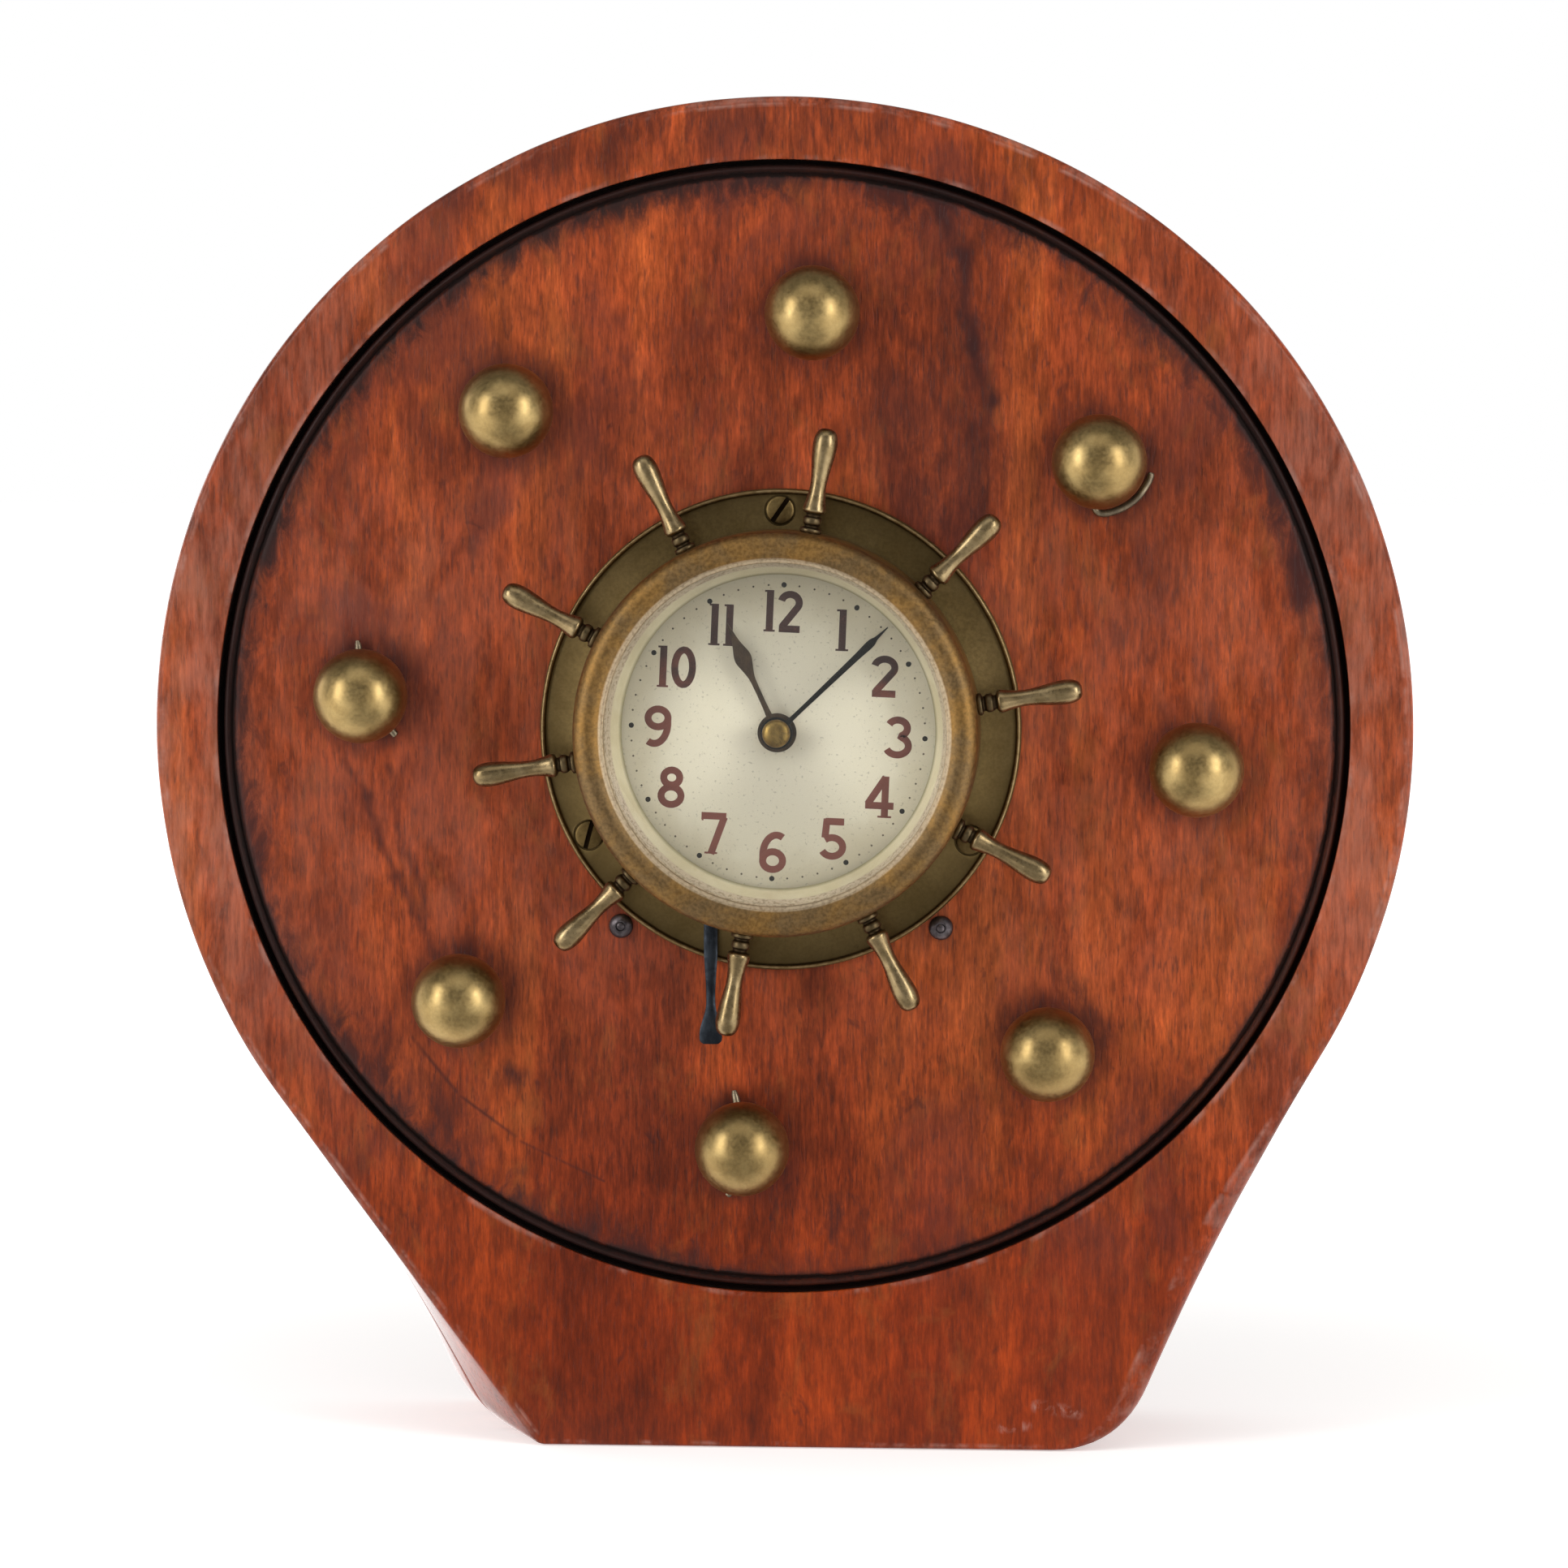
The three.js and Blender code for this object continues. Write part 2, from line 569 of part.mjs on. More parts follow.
function hubBoard(number) {
  const top = number * BOARD_THICKNESS;
  const bottom = top + BOARD_THICKNESS;
  const levels = [];
  if (number === 0) {
    levels.push(hubLevel(top, ARRIS_BEVEL), hubLevel(top + ARRIS_BEVEL, 0));
  } else {
    levels.push(hubLevel(top, 0));
  }
  levels.push(hubLevel((top + bottom) / 2, 0));
  if (number === BOARD_COUNT - 1) {
    levels.push(hubLevel(bottom - ARRIS_BEVEL, 0), hubLevel(bottom, ARRIS_BEVEL));
  } else {
    levels.push(hubLevel(bottom, 0));
  }
  return toSolid(loft(levels));
}

function hubHoles() {
  const past = RECESS_DEPTH + CUT_PAST;
  const holes = [toSolid(rod(CASE_RADIUS + BORE_CLEARANCE, -woodThickness, past, LARGE_FACETS))];
  for (let i = 0; i < BALL_COUNT; i += 1) {
    const [x, y] = clockPlace(BALL_CIRCLE, BALL_TURN + i * 360 / BALL_COUNT);
    holes.push(toSolid(rod(BALL_SPIGOT_RADIUS + FIT, -woodThickness, past, KNOB_FACETS, x, y)));
  }
  return holes;
}

function faceCuts() {
  const past = RECESS_DEPTH + CUT_PAST;
  const grooveInner = recessRadius - GROOVE_WIDTH;
  const recess = revolve([
    [0, 0], [grooveInner - GROOVE_DEPTH / 4, 0], [grooveInner + GROOVE_WIDTH / 4, -GROOVE_DEPTH * 0.75],
    [recessRadius - GROOVE_WIDTH / 4, -GROOVE_DEPTH], [recessRadius, -GROOVE_DEPTH / 2],
    [recessRadius, past], [0, past],
  ], LARGE_FACETS + SMALL_FACETS);
  const pilots = FLANGE_SCREW_TURNS.map((turn) => {
    const [x, y] = clockPlace(flangeScrewCircle, turn);
    return toSolid(rod(SCREW_SHANK_RADIUS + FIT, -SCREW_LENGTH - FIT, past, BORE_FACETS, x, y));
  });
  const pinHoles = REST_PIN_TURNS.map((turn) => {
    const [x, y] = clockPlace(restPinCircle, turn);
    return toSolid(rod(REST_PIN_RADIUS + FIT, -REST_PIN_LENGTH - FIT, past, BORE_FACETS, x, y));
  });
  return [toSolid(recess), ...pilots, ...pinHoles];
}

const boardNames = ['front_board', 'middle_board', 'rear_board'];
for (let number = 0; number < BOARD_COUNT; number += 1) {
  const tools = number === 0 ? [...hubHoles(), ...faceCuts()] : hubHoles();
  addNode(boardNames[number], cut(hubBoard(number), ...tools), mahogany);
}

// Ball knobs: a ball on a neck, with a spigot down the bolt hole
function ballKnob() {
  const neckMeet = Math.asin(BALL_NECK_RADIUS / BALL_RADIUS);
  const profile = [
    [0, -BALL_SPIGOT_LENGTH], [BALL_SPIGOT_RADIUS, -BALL_SPIGOT_LENGTH], [BALL_SPIGOT_RADIUS, SEAT],
    [BALL_NECK_RADIUS, SEAT],
  ];
  const rings = 6;
  for (let i = 0; i <= rings; i += 1) {
    const angle = neckMeet + (Math.PI - neckMeet) * i / rings;
    const radius = i === rings ? 0 : BALL_RADIUS * Math.sin(angle);
    profile.push([radius, BALL_STANDOFF - BALL_RADIUS * Math.cos(angle)]);
  }
  return toSolid(revolve(profile, KNOB_FACETS));
}

for (let i = 0; i < BALL_COUNT; i += 1) {
  addNode(`ball_knob_${i + 1}`, ballKnob(), gilt, clockPlace(BALL_CIRCLE, BALL_TURN + i * 360 / BALL_COUNT));
}

// Mounting flange, its screws and the two rest pins
function flangeSlope(radius) {
  const outer = flangeRadius - FLANGE_LIP_WIDTH;
  const share = (radius - flangeInner) / (outer - flangeInner);
  return THREE.MathUtils.lerp(FLANGE_INNER_HEIGHT, FLANGE_EDGE_HEIGHT, share);
}

function mountFlange() {
  const lipInner = flangeRadius - FLANGE_LIP_WIDTH;
  const lipTop = FLANGE_EDGE_HEIGHT + FLANGE_LIP_RISE;
  const body = toSolid(revolve([
    [flangeInner, SEAT], [flangeRadius, SEAT], [flangeRadius, lipTop - FLANGE_LIP_RISE / 2],
    [flangeRadius - FLANGE_LIP_WIDTH / 2, lipTop], [lipInner, FLANGE_EDGE_HEIGHT],
    [flangeInner, FLANGE_INNER_HEIGHT], [flangeInner, SEAT],
  ], LARGE_FACETS));
  const holes = FLANGE_SCREW_TURNS.flatMap((turn) => {
    const [x, y] = clockPlace(flangeScrewCircle, turn);
    const headSeat = flangeSlope(flangeScrewCircle) - SCREW_HEAD_SINK;
    return [
      toSolid(rod(SCREW_SHANK_RADIUS + FIT, -CUT_PAST, FLANGE_INNER_HEIGHT, BORE_FACETS, x, y)),
      toSolid(rod(SCREW_HEAD_RADIUS + FIT, headSeat, FLANGE_INNER_HEIGHT + CUT_PAST, SMALL_FACETS, x, y)),
    ];
  });
  return cut(body, ...holes);
}

function flangeScrew() {
  const seat = flangeSlope(flangeScrewCircle) - SCREW_HEAD_SINK + SEAT;
  const top = seat + SCREW_HEAD_HEIGHT;
  const body = revolve([
    [0, -SCREW_LENGTH], [SCREW_SHANK_RADIUS, -SCREW_LENGTH + SCREW_SHANK_RADIUS * 2],
    [SCREW_SHANK_RADIUS, seat],
    [SCREW_HEAD_RADIUS, seat], [SCREW_HEAD_RADIUS, top - SCREW_HEAD_HEIGHT / 3], [0, top],
  ], SMALL_FACETS);
  const slot = new THREE.BoxGeometry(SCREW_HEAD_RADIUS * 3, SCREW_SLOT_WIDTH, SCREW_HEAD_HEIGHT);
  return cut(toSolid(body), toSolid(slot.translate(0, 0, top)));
}

function restPin() {
  return toSolid(revolve([
    [0, -REST_PIN_LENGTH], [REST_PIN_RADIUS, -REST_PIN_LENGTH + REST_PIN_RADIUS * 2], [REST_PIN_RADIUS, SEAT],
    [REST_PIN_HEAD_RADIUS, SEAT], [REST_PIN_HEAD_RADIUS * 0.8, REST_PIN_HEAD_HEIGHT * 0.75],
    [0, REST_PIN_HEAD_HEIGHT],
  ], SMALL_FACETS));
}

addNode('mount_flange', mountFlange(), darkBrass);
FLANGE_SCREW_TURNS.forEach((turn, i) => {
  addNode(`flange_screw_${i + 1}`, flangeScrew(), darkBrass, clockPlace(flangeScrewCircle, turn), turn);
});
REST_PIN_TURNS.forEach((turn, i) => {
  addNode(`rest_pin_${i + 1}`, restPin(), blackSteel, clockPlace(restPinCircle, turn));
});

// Case: a tube with a ledge for the front plate, and its press-in back cover
addNode('clock_case', toSolid(revolve([
  [caseInner, -CASE_DEPTH], [CASE_RADIUS, -CASE_DEPTH], [CASE_RADIUS, caseTop], [caseInner, caseTop],
  [caseInner, ledgeTop], [caseInner - CASE_LEDGE_WIDTH, ledgeTop],
  [caseInner - CASE_LEDGE_WIDTH, ledgeTop - CASE_LEDGE_HEIGHT], [caseInner, ledgeTop - CASE_LEDGE_HEIGHT],
  [caseInner, -CASE_DEPTH],
], CASE_FACETS)), darkBrass);

const coverSpigot = caseInner - FIT;
addNode('case_back_cover', toSolid(revolve([
  [0, coverTop - BACK_COVER_THICKNESS], [CASE_RADIUS, coverTop - BACK_COVER_THICKNESS],
  [CASE_RADIUS, coverTop], [coverSpigot, coverTop],
  [coverSpigot, coverTop + BACK_COVER_SPIGOT], [0, coverTop + BACK_COVER_SPIGOT],
], CASE_FACETS)), brass);

// Winding rim with inside teeth, the glass and the sight ring behind it
function windingRim() {
  const band = (rimRadius + rimBandInner) / 2;
  const body = toSolid(revolve([
    [rimInner, rimRear], [rimRadius, rimRear], [rimRadius, rimFront - RIM_EDGE_ROUND],
    [rimRadius - RIM_EDGE_ROUND * 0.25, rimFront - RIM_EDGE_ROUND * 0.4],
    [rimRadius - RIM_EDGE_ROUND * 0.7, rimFront - RIM_EDGE_ROUND * 0.08], [band, rimFront],
    [rimBandInner + RIM_INNER_DROP, rimFront - RIM_INNER_DROP / 3], [rimBandInner, rimFront - RIM_INNER_DROP],
    [rimOpening, rimFront - RIM_INNER_DROP * 1.2], [rimOpening, glassFront + SEAT],
    [glassSeat, glassFront + SEAT], [glassSeat, rimShoulder], [rimInner, rimShoulder], [rimInner, rimRear],
  ], LARGE_FACETS));
  const root = windRingPitch + WIND_DEDENDUM * windModule;
  const tip = windRingPitch - WIND_ADDENDUM * windModule;
  const shape = new THREE.Shape().absarc(0, 0, rimRadius - RIM_WALL / 2, 0, Math.PI * 2, false);
  const teeth = toothOutline(WIND_RING_TEETH, root, tip, TOOTH_ROOT_SHARE, TOOTH_TIP_SHARE, ringPhase);
  shape.holes.push(polygon(teeth.reverse()));
  const toothRing = toSolid(plate(shape, rimRear, WIND_GEAR_HEIGHT, LARGE_FACETS / 2));
  const sockets = [];
  for (let i = 0; i < HANDLE_COUNT; i += 1) {
    const radius = TENON_RADIUS + FIT;
    const depth = TENON_LENGTH + FIT;
    const socket = new THREE.CylinderGeometry(radius, radius, depth + CUT_PAST, BORE_FACETS);
    socket.translate(0, rimRadius + (CUT_PAST - depth) / 2, handleLevel);
    sockets.push(toSolid(socket.rotateZ(-radians(HANDLE_TURN + i * 360 / HANDLE_COUNT))));
  }
  return cut(union(body, toothRing), ...sockets);
}

addNode('winding_rim', windingRim(), gilt);

function wheelHandle() {
  const base = rimRadius + SEAT;
  const turning = [
    [HANDLE_COLLAR_RADIUS, 0], [HANDLE_COLLAR_RADIUS, 0.05], [HANDLE_GROOVE_RADIUS, 0.07],
    [HANDLE_GROOVE_RADIUS, 0.18], [HANDLE_COLLAR_RADIUS, 0.22], [HANDLE_WAIST_RADIUS, 0.32],
    [HANDLE_WAIST_RADIUS, 0.48], [HANDLE_BULB_RADIUS, 0.82], [HANDLE_BULB_RADIUS * 0.8, 0.95], [0, 1],
  ];
  const profile = [
    [0, base - TENON_LENGTH], [TENON_RADIUS, base - TENON_LENGTH], [TENON_RADIUS, base],
    ...turning.map(([radius, share]) => [radius, base + share * HANDLE_LENGTH]),
  ];
  const points = profile.map(([radius, along]) => new THREE.Vector2(radius, along));
  return toSolid(new THREE.LatheGeometry(points, HANDLE_FACETS).translate(0, 0, handleLevel));
}

for (let i = 0; i < HANDLE_COUNT; i += 1) {
  addNode(`wheel_handle_${i + 1}`, wheelHandle(), gilt, [0, 0], HANDLE_TURN + i * 360 / HANDLE_COUNT);
}

addNode('crystal', toSolid(revolve([
  [0, glassBottom], [glassRadius, glassBottom], [glassRadius, glassFront - GLASS_DOME],
  [rimOpening, glassFront], [0, glassFront + GLASS_DOME],
], LARGE_FACETS)), glass);

addNode('sight_ring', toSolid(revolve([
  [sightRadius, sightBottom], [glassRadius, sightBottom], [glassRadius, glassBottom - SEAT],
  [rimOpening, glassBottom - SEAT], [sightRadius, sightBottom],
], LARGE_FACETS)), brass);

// Dial plate on three feet, and the dial card
function dialPlate() {
  const plateTop = dialPlateLevel + DIAL_PLATE_THICKNESS;
  const disc = toSolid(ring(dialHole, dialPlateRadius, dialPlateLevel, plateTop, CASE_FACETS));
  const feet = DIAL_FOOT_TURNS.map((turn) => {
    const [x, y] = clockPlace(dialFootCircle, turn);
    const footTop = plateTop - DIAL_PLATE_THICKNESS / 2;
    return toSolid(rod(DIAL_FOOT_RADIUS, frontPlateTop + SEAT, footTop, BORE_FACETS, x, y));
  });
  return union(disc, ...feet);
}

addNode('dial_plate', dialPlate(), brass);
addNode('dial', toSolid(ring(dialHole, dialRadius, dialBottom, dialTop, CASE_FACETS)), silvered);

// Hands: a blade of half widths along its length, on a round eye
function handShape(eyeRadius, hole, stations) {
  const [firstAlong, firstHalf] = stations[0];
  const open = Math.atan2(firstHalf, firstAlong);
  const shape = new THREE.Shape();
  shape.absarc(0, 0, eyeRadius, Math.PI / 2 + open, Math.PI * 2.5 - open, false);
  stations.slice(1).forEach(([along, half]) => shape.lineTo(half, along));
  stations.slice(1).reverse().forEach(([along, half]) => shape.lineTo(-half, along));
  shape.holes.push(roundHole(hole));
  return shape;
}

const hourHand = handShape(HOUR_HAND_HUB, hourPipe + FIT, [
  [HOUR_HAND_HUB, HOUR_HAND_STEM / 2], [HOUR_HAND_LENGTH * 0.5, HOUR_HAND_STEM / 2],
  [HOUR_HAND_LENGTH * 0.6, HOUR_HAND_SPADE / 4], [HOUR_HAND_LENGTH * 0.68, HOUR_HAND_SPADE / 2],
  [HOUR_HAND_LENGTH * 0.76, HOUR_HAND_SPADE / 3], [HOUR_HAND_LENGTH * 0.86, HOUR_HAND_STEM / 2],
  [HOUR_HAND_LENGTH, HAND_POINT / 2],
]);
const minuteHand = handShape(MINUTE_HAND_HUB, cannonPipe + FIT, [
  [MINUTE_HAND_HUB, MINUTE_HAND_STEM / 2], [minuteHandLength * 0.82, MINUTE_HAND_BLADE / 2],
  [minuteHandLength * 0.89, MINUTE_HAND_BLADE / 2], [minuteHandLength * 0.92, HAND_POINT],
  [minuteHandLength, HAND_POINT / 2],
]);
const hourHandSolid = toSolid(plate(hourHand, hourHandLevel, HAND_THICKNESS));
const minuteHandSolid = toSolid(plate(minuteHand, minuteHandLevel, HAND_THICKNESS));
addNode('hour_hand', hourHandSolid, brownHand, [0, 0], HOUR_HAND_TURN);
addNode('minute_hand', minuteHandSolid, blackSteel, [0, 0], MINUTE_HAND_TURN);

addNode('hand_cap', toSolid(revolve([
  [0, capLevel], [CAP_RADIUS, capLevel], [CAP_RADIUS, capLevel + CAP_HEIGHT * 0.55],
  [CAP_RADIUS * 0.65, capLevel + CAP_HEIGHT * 0.9], [0, capLevel + CAP_HEIGHT],
], KNOB_FACETS)), brass);

// Setting lever: a waisted strip on a shouldered screw in the front plate
function settingLever() {
  const stations = [
    [LEVER_EYE_RADIUS, LEVER_ROOT_WIDTH / 2], [LEVER_LENGTH * 0.5, LEVER_ROOT_WIDTH / 2],
    [LEVER_LENGTH * 0.72, LEVER_WAIST / 2], [LEVER_LENGTH * 0.8, LEVER_WAIST / 2],
    [LEVER_LENGTH * 0.9, LEVER_END_WIDTH / 2], [LEVER_LENGTH - LEVER_CORNER, LEVER_END_WIDTH / 2],
    [LEVER_LENGTH, LEVER_END_WIDTH / 2 - LEVER_CORNER],
  ];
  const shape = handShape(LEVER_EYE_RADIUS, LEVER_SCREW_RADIUS + FIT, stations);
  return toSolid(plate(shape, leverLevel, LEVER_THICKNESS).rotateZ(Math.PI));
}

addNode('setting_lever', settingLever(), blueSteel, leverPlace);
const leverHead = leverTop + FIT;
addNode('lever_screw', toSolid(revolve([
  [0, FRONT_PLATE_LEVEL + SEAT], [LEVER_SCREW_RADIUS, FRONT_PLATE_LEVEL + SEAT],
  [LEVER_SCREW_RADIUS, leverHead], [LEVER_SCREW_HEAD_RADIUS, leverHead],
  [LEVER_SCREW_HEAD_RADIUS, leverHead + LEVER_SCREW_HEAD_HEIGHT], [0, leverHead + LEVER_SCREW_HEAD_HEIGHT],
], SMALL_FACETS)), steel, leverPlace);

// Movement plates: pivots are bored, studs and pillars are riveted on
const trainPlaces = [[0, 0], thirdPlace, fourthPlace, escapePlace, balancePlace];

function plateBore(radius, rear, front, sides, place) {
  return toSolid(rod(radius + FIT, rear - CUT_PAST, front + CUT_PAST, sides, ...place));
}

function frontPlate() {
  const rear = FRONT_PLATE_LEVEL;
  const disc = toSolid(rod(caseInner - FIT, rear, frontPlateTop, CASE_FACETS));
  const bores = [
    ...trainPlaces.slice(1).map((place) => plateBore(PIVOT_RADIUS, rear, frontPlateTop, BORE_FACETS, place)),
    plateBore(ARBOR_RADIUS, rear, frontPlateTop, BORE_FACETS, trainPlaces[0]),
    plateBore(BARREL_ARBOR_RADIUS, rear, frontPlateTop, SMALL_FACETS, barrelPlace),
    plateBore(LEVER_SCREW_RADIUS, rear, frontPlateTop, BORE_FACETS, leverPlace),
  ];
  const studRoot = frontPlateTop - RIVET_DEPTH;
  const studs = [
    toSolid(rod(STUD_RADIUS, studRoot, gearTop, BORE_FACETS, ...idlerPlace)),
    toSolid(rod(STUD_RADIUS, studRoot, motionUpper + MOTION_HEIGHT, BORE_FACETS, ...minutePlace)),
    toSolid(rod(STUD_RADIUS, studRoot, ratchetLevel + RATCHET_HEIGHT, BORE_FACETS, ...clickPlace)),
  ];
  return cut(union(disc, ...studs), ...bores);
}

function backPlate() {
  const disc = toSolid(rod(backPlateRadius, backPlateRear, backPlateFront, CASE_FACETS));
  const bores = [
    ...trainPlaces.map((place) => plateBore(PIVOT_RADIUS, backPlateRear, backPlateFront, BORE_FACETS, place)),
    plateBore(BARREL_ARBOR_RADIUS, backPlateRear, backPlateFront, SMALL_FACETS, barrelPlace),
  ];
  const root = backPlateFront - RIVET_DEPTH;
  const pillars = PILLAR_TURNS.map((turn) => {
    const [x, y] = clockPlace(pillarCircle, turn);
    return toSolid(rod(PILLAR_RADIUS, root, ledgeTop, BORE_FACETS, x, y));
  });
  const palletStud = rod(PIVOT_RADIUS, root, escapeLevel + WHEEL_THICKNESS, BORE_FACETS, ...palletPlace);
  return cut(union(disc, ...pillars, toSolid(palletStud)), ...bores);
}

addNode('front_plate', frontPlate(), brass);
addNode('back_plate', backPlate(), brass);

// Winding work
const idlerPhase = insideMeshPhase(WIND_DIRECTION, ringPhase, WIND_RING_TEETH, WIND_IDLER_TEETH);
const windWheelPhase = meshPhase(WIND_DIRECTION + 180, idlerPhase, WIND_IDLER_TEETH, WIND_WHEEL_TEETH);

function boredWheel(outline, bore, level, height) {
  const shape = polygon(outline);
  shape.holes.push(roundHole(bore));
  return toSolid(plate(shape, level, height, SMALL_FACETS / 2));
}

const idlerOutline = windOutline(WIND_IDLER_TEETH, idlerPhase);
const windWheelOutline = windOutline(WIND_WHEEL_TEETH, windWheelPhase);
const arborHole = BARREL_ARBOR_RADIUS + FIT;
const windIdler = boredWheel(idlerOutline, STUD_RADIUS + FIT, rimRear, WIND_GEAR_HEIGHT);
const windWheel = boredWheel(windWheelOutline, arborHole, rimRear, WIND_GEAR_HEIGHT);
addNode('winding_idler', windIdler, steel, idlerPlace);
addNode('winding_wheel', windWheel, steel, barrelPlace);

function ratchetOutline() {
  const points = [];
  for (let i = 0; i < RATCHET_TEETH; i += 1) {
    const angle = i * 360 / RATCHET_TEETH;
    points.push(polarPlace(RATCHET_RADIUS, angle));
    points.push(polarPlace(RATCHET_RADIUS - RATCHET_TOOTH, angle + RATCHET_RAKE));
  }
  return points;
}

const ratchetWheel = boredWheel(ratchetOutline(), arborHole, ratchetLevel, RATCHET_HEIGHT);
addNode('ratchet_wheel', ratchetWheel, steel, barrelPlace);
const barrelArbor = toSolid(rod(BARREL_ARBOR_RADIUS, backPlateRear, gearTop, SMALL_FACETS));
addNode('barrel_arbor', barrelArbor, steel, barrelPlace);

// Click: its nose stands just off the ratchet's tips
function clickSolid() {
  const noseDirection = CLICK_DIRECTION - CLICK_NOSE_ANGLE;
  const nose = polarPlace(RATCHET_RADIUS + CLICK_CLEARANCE, noseDirection, barrelPlace);
  const reach = Math.hypot(nose[0] - clickPlace[0], nose[1] - clickPlace[1]);
  const heading = THREE.MathUtils.radToDeg(Math.atan2(nose[1] - clickPlace[1], nose[0] - clickPlace[0]));
  const shape = handShape(CLICK_WIDTH, STUD_RADIUS + FIT, [
    [CLICK_WIDTH, CLICK_WIDTH / 2.5], [reach, CLICK_POINT / 2],
  ]);
  const blank = plate(shape, ratchetLevel, RATCHET_HEIGHT, BORE_FACETS / 2);
  return toSolid(blank.rotateZ(radians(heading - 90)));
}

addNode('click', clickSolid(), steel, clickPlace);

// Barrel with its great wheel, and the mainspring coiled inside
const barrelPhase = 0;
const centrePhase = meshPhase(WIND_DIRECTION + 180, barrelPhase, BARREL_TEETH, CENTRE_PINION_LEAVES);

function barrelSolid() {
  const outline = wheelOutline(BARREL_TEETH, barrelModule, barrelPhase);
  const wheel = boredWheel(outline, arborHole, barrelLevel, BARREL_RIM_HEIGHT);
  const drumRoot = drumBottom - BARREL_RIM_HEIGHT / 2;
  const drum = ring(BARREL_DRUM_RADIUS - BARREL_WALL, BARREL_DRUM_RADIUS, drumRoot, drumTop, BARREL_FACETS);
  return union(wheel, toSolid(drum));
}

function spiralStrip(inner, outer, turns, thickness) {
  const steps = Math.round(turns * KNOB_FACETS);
  const side = (offset) => Array.from({ length: steps + 1 }, (_, i) => {
    const radius = inner + (outer - inner) * i / steps + offset;
    return polarPlace(radius, 360 * turns * i / steps);
  });
  return polygon([...side(thickness / 2), ...side(-thickness / 2).reverse()]);
}

addNode('mainspring_barrel', barrelSolid(), brass, barrelPlace);
const springInner = BARREL_ARBOR_RADIUS + MAINSPRING_THICKNESS / 2 + FIT;
const springOuter = BARREL_DRUM_RADIUS - BARREL_WALL - MAINSPRING_THICKNESS / 2 - FIT * 2;
const springStrip = spiralStrip(springInner, springOuter, MAINSPRING_TURNS, MAINSPRING_THICKNESS);
const mainspring = toSolid(plate(springStrip, drumBottom + FIT, MAINSPRING_HEIGHT));
addNode('mainspring', mainspring, blueSteel, barrelPlace);

// Going train: wheel, pinion and arbor turned as one, with a pivot at each end
function trainWheel({ wheel, level, pinion, pinionLevel, pinionHeight }) {
  const pivots = revolve([
    [0, backPlateRear], [PIVOT_RADIUS, backPlateRear], [PIVOT_RADIUS, frontPlateTop], [0, frontPlateTop],
  ], BORE_FACETS);
  const leaves = toSolid(plate(polygon(pinion), pinionLevel, pinionHeight));
  const disc = toSolid(plate(polygon(wheel), level, WHEEL_THICKNESS));
  return union(toSolid(pivots), leaves, disc);
}

const centreWheelPhase = 0;
const thirdPinionPhase = meshPhase(THIRD_DIRECTION, centreWheelPhase, CENTRE_TEETH, TRAIN_LEAVES);
const thirdWheelPhase = 0;
const fourthPinionPhase = meshPhase(FOURTH_DIRECTION, thirdWheelPhase, THIRD_TEETH, TRAIN_LEAVES);
const fourthWheelPhase = 0;
const escapePinionPhase = meshPhase(ESCAPE_DIRECTION, fourthWheelPhase, FOURTH_TEETH, TRAIN_LEAVES);
const pinionHeight = WHEEL_THICKNESS + MESH_OVERLAP * 2;

function centreWheel() {
  const arbor = revolve([
    [0, backPlateRear], [PIVOT_RADIUS, backPlateRear], [PIVOT_RADIUS, backPlateFront + FIT],
    [ARBOR_RADIUS, backPlateFront + FIT], [ARBOR_RADIUS, pipeTop - SEAT], [0, pipeTop - SEAT],
  ], BORE_FACETS);
  const pinion = pinionOutline(CENTRE_PINION_LEAVES, barrelModule, centrePhase);
  const leafHeight = BARREL_RIM_HEIGHT + MESH_OVERLAP * 2;
  const leaves = toSolid(plate(polygon(pinion), barrelLevel - MESH_OVERLAP, leafHeight));
  const outline = wheelOutline(CENTRE_TEETH, CENTRE_MODULE, centreWheelPhase);
  return union(toSolid(arbor), leaves, toSolid(plate(polygon(outline), centreLevel, WHEEL_THICKNESS)));
}

addNode('centre_wheel', centreWheel(), brass);
addNode('third_wheel', trainWheel({
  wheel: wheelOutline(THIRD_TEETH, THIRD_MODULE, thirdWheelPhase),
  level: thirdLevel,
  pinion: pinionOutline(TRAIN_LEAVES, CENTRE_MODULE, thirdPinionPhase),
  pinionLevel: centreLevel - MESH_OVERLAP,
  pinionHeight,
}), brass, thirdPlace);
addNode('fourth_wheel', trainWheel({
  wheel: wheelOutline(FOURTH_TEETH, FOURTH_MODULE, fourthWheelPhase),
  level: fourthLevel,
  pinion: pinionOutline(TRAIN_LEAVES, THIRD_MODULE, fourthPinionPhase),
  pinionLevel: thirdLevel - MESH_OVERLAP,
  pinionHeight,
}), brass, fourthPlace);

// Escape wheel: raked teeth, with the pallets standing clear of their tips
function escapeOutline() {
  const points = [];
  for (let i = 0; i < ESCAPE_TEETH; i += 1) {
    const angle = i * 360 / ESCAPE_TEETH;
    points.push(polarPlace(ESCAPE_RADIUS - ESCAPE_TOOTH, angle - ESCAPE_BACK_ANGLE));
    points.push(polarPlace(ESCAPE_RADIUS, angle));
    points.push(polarPlace(ESCAPE_RADIUS - ESCAPE_TOOTH, angle + ESCAPE_FACE_ANGLE));
  }
  return points;
}

addNode('escape_wheel', trainWheel({
  wheel: escapeOutline(),
  level: escapeLevel,
  pinion: pinionOutline(TRAIN_LEAVES, FOURTH_MODULE, escapePinionPhase),
  pinionLevel: fourthLevel - MESH_OVERLAP,
  pinionHeight,
}), brass, escapePlace);

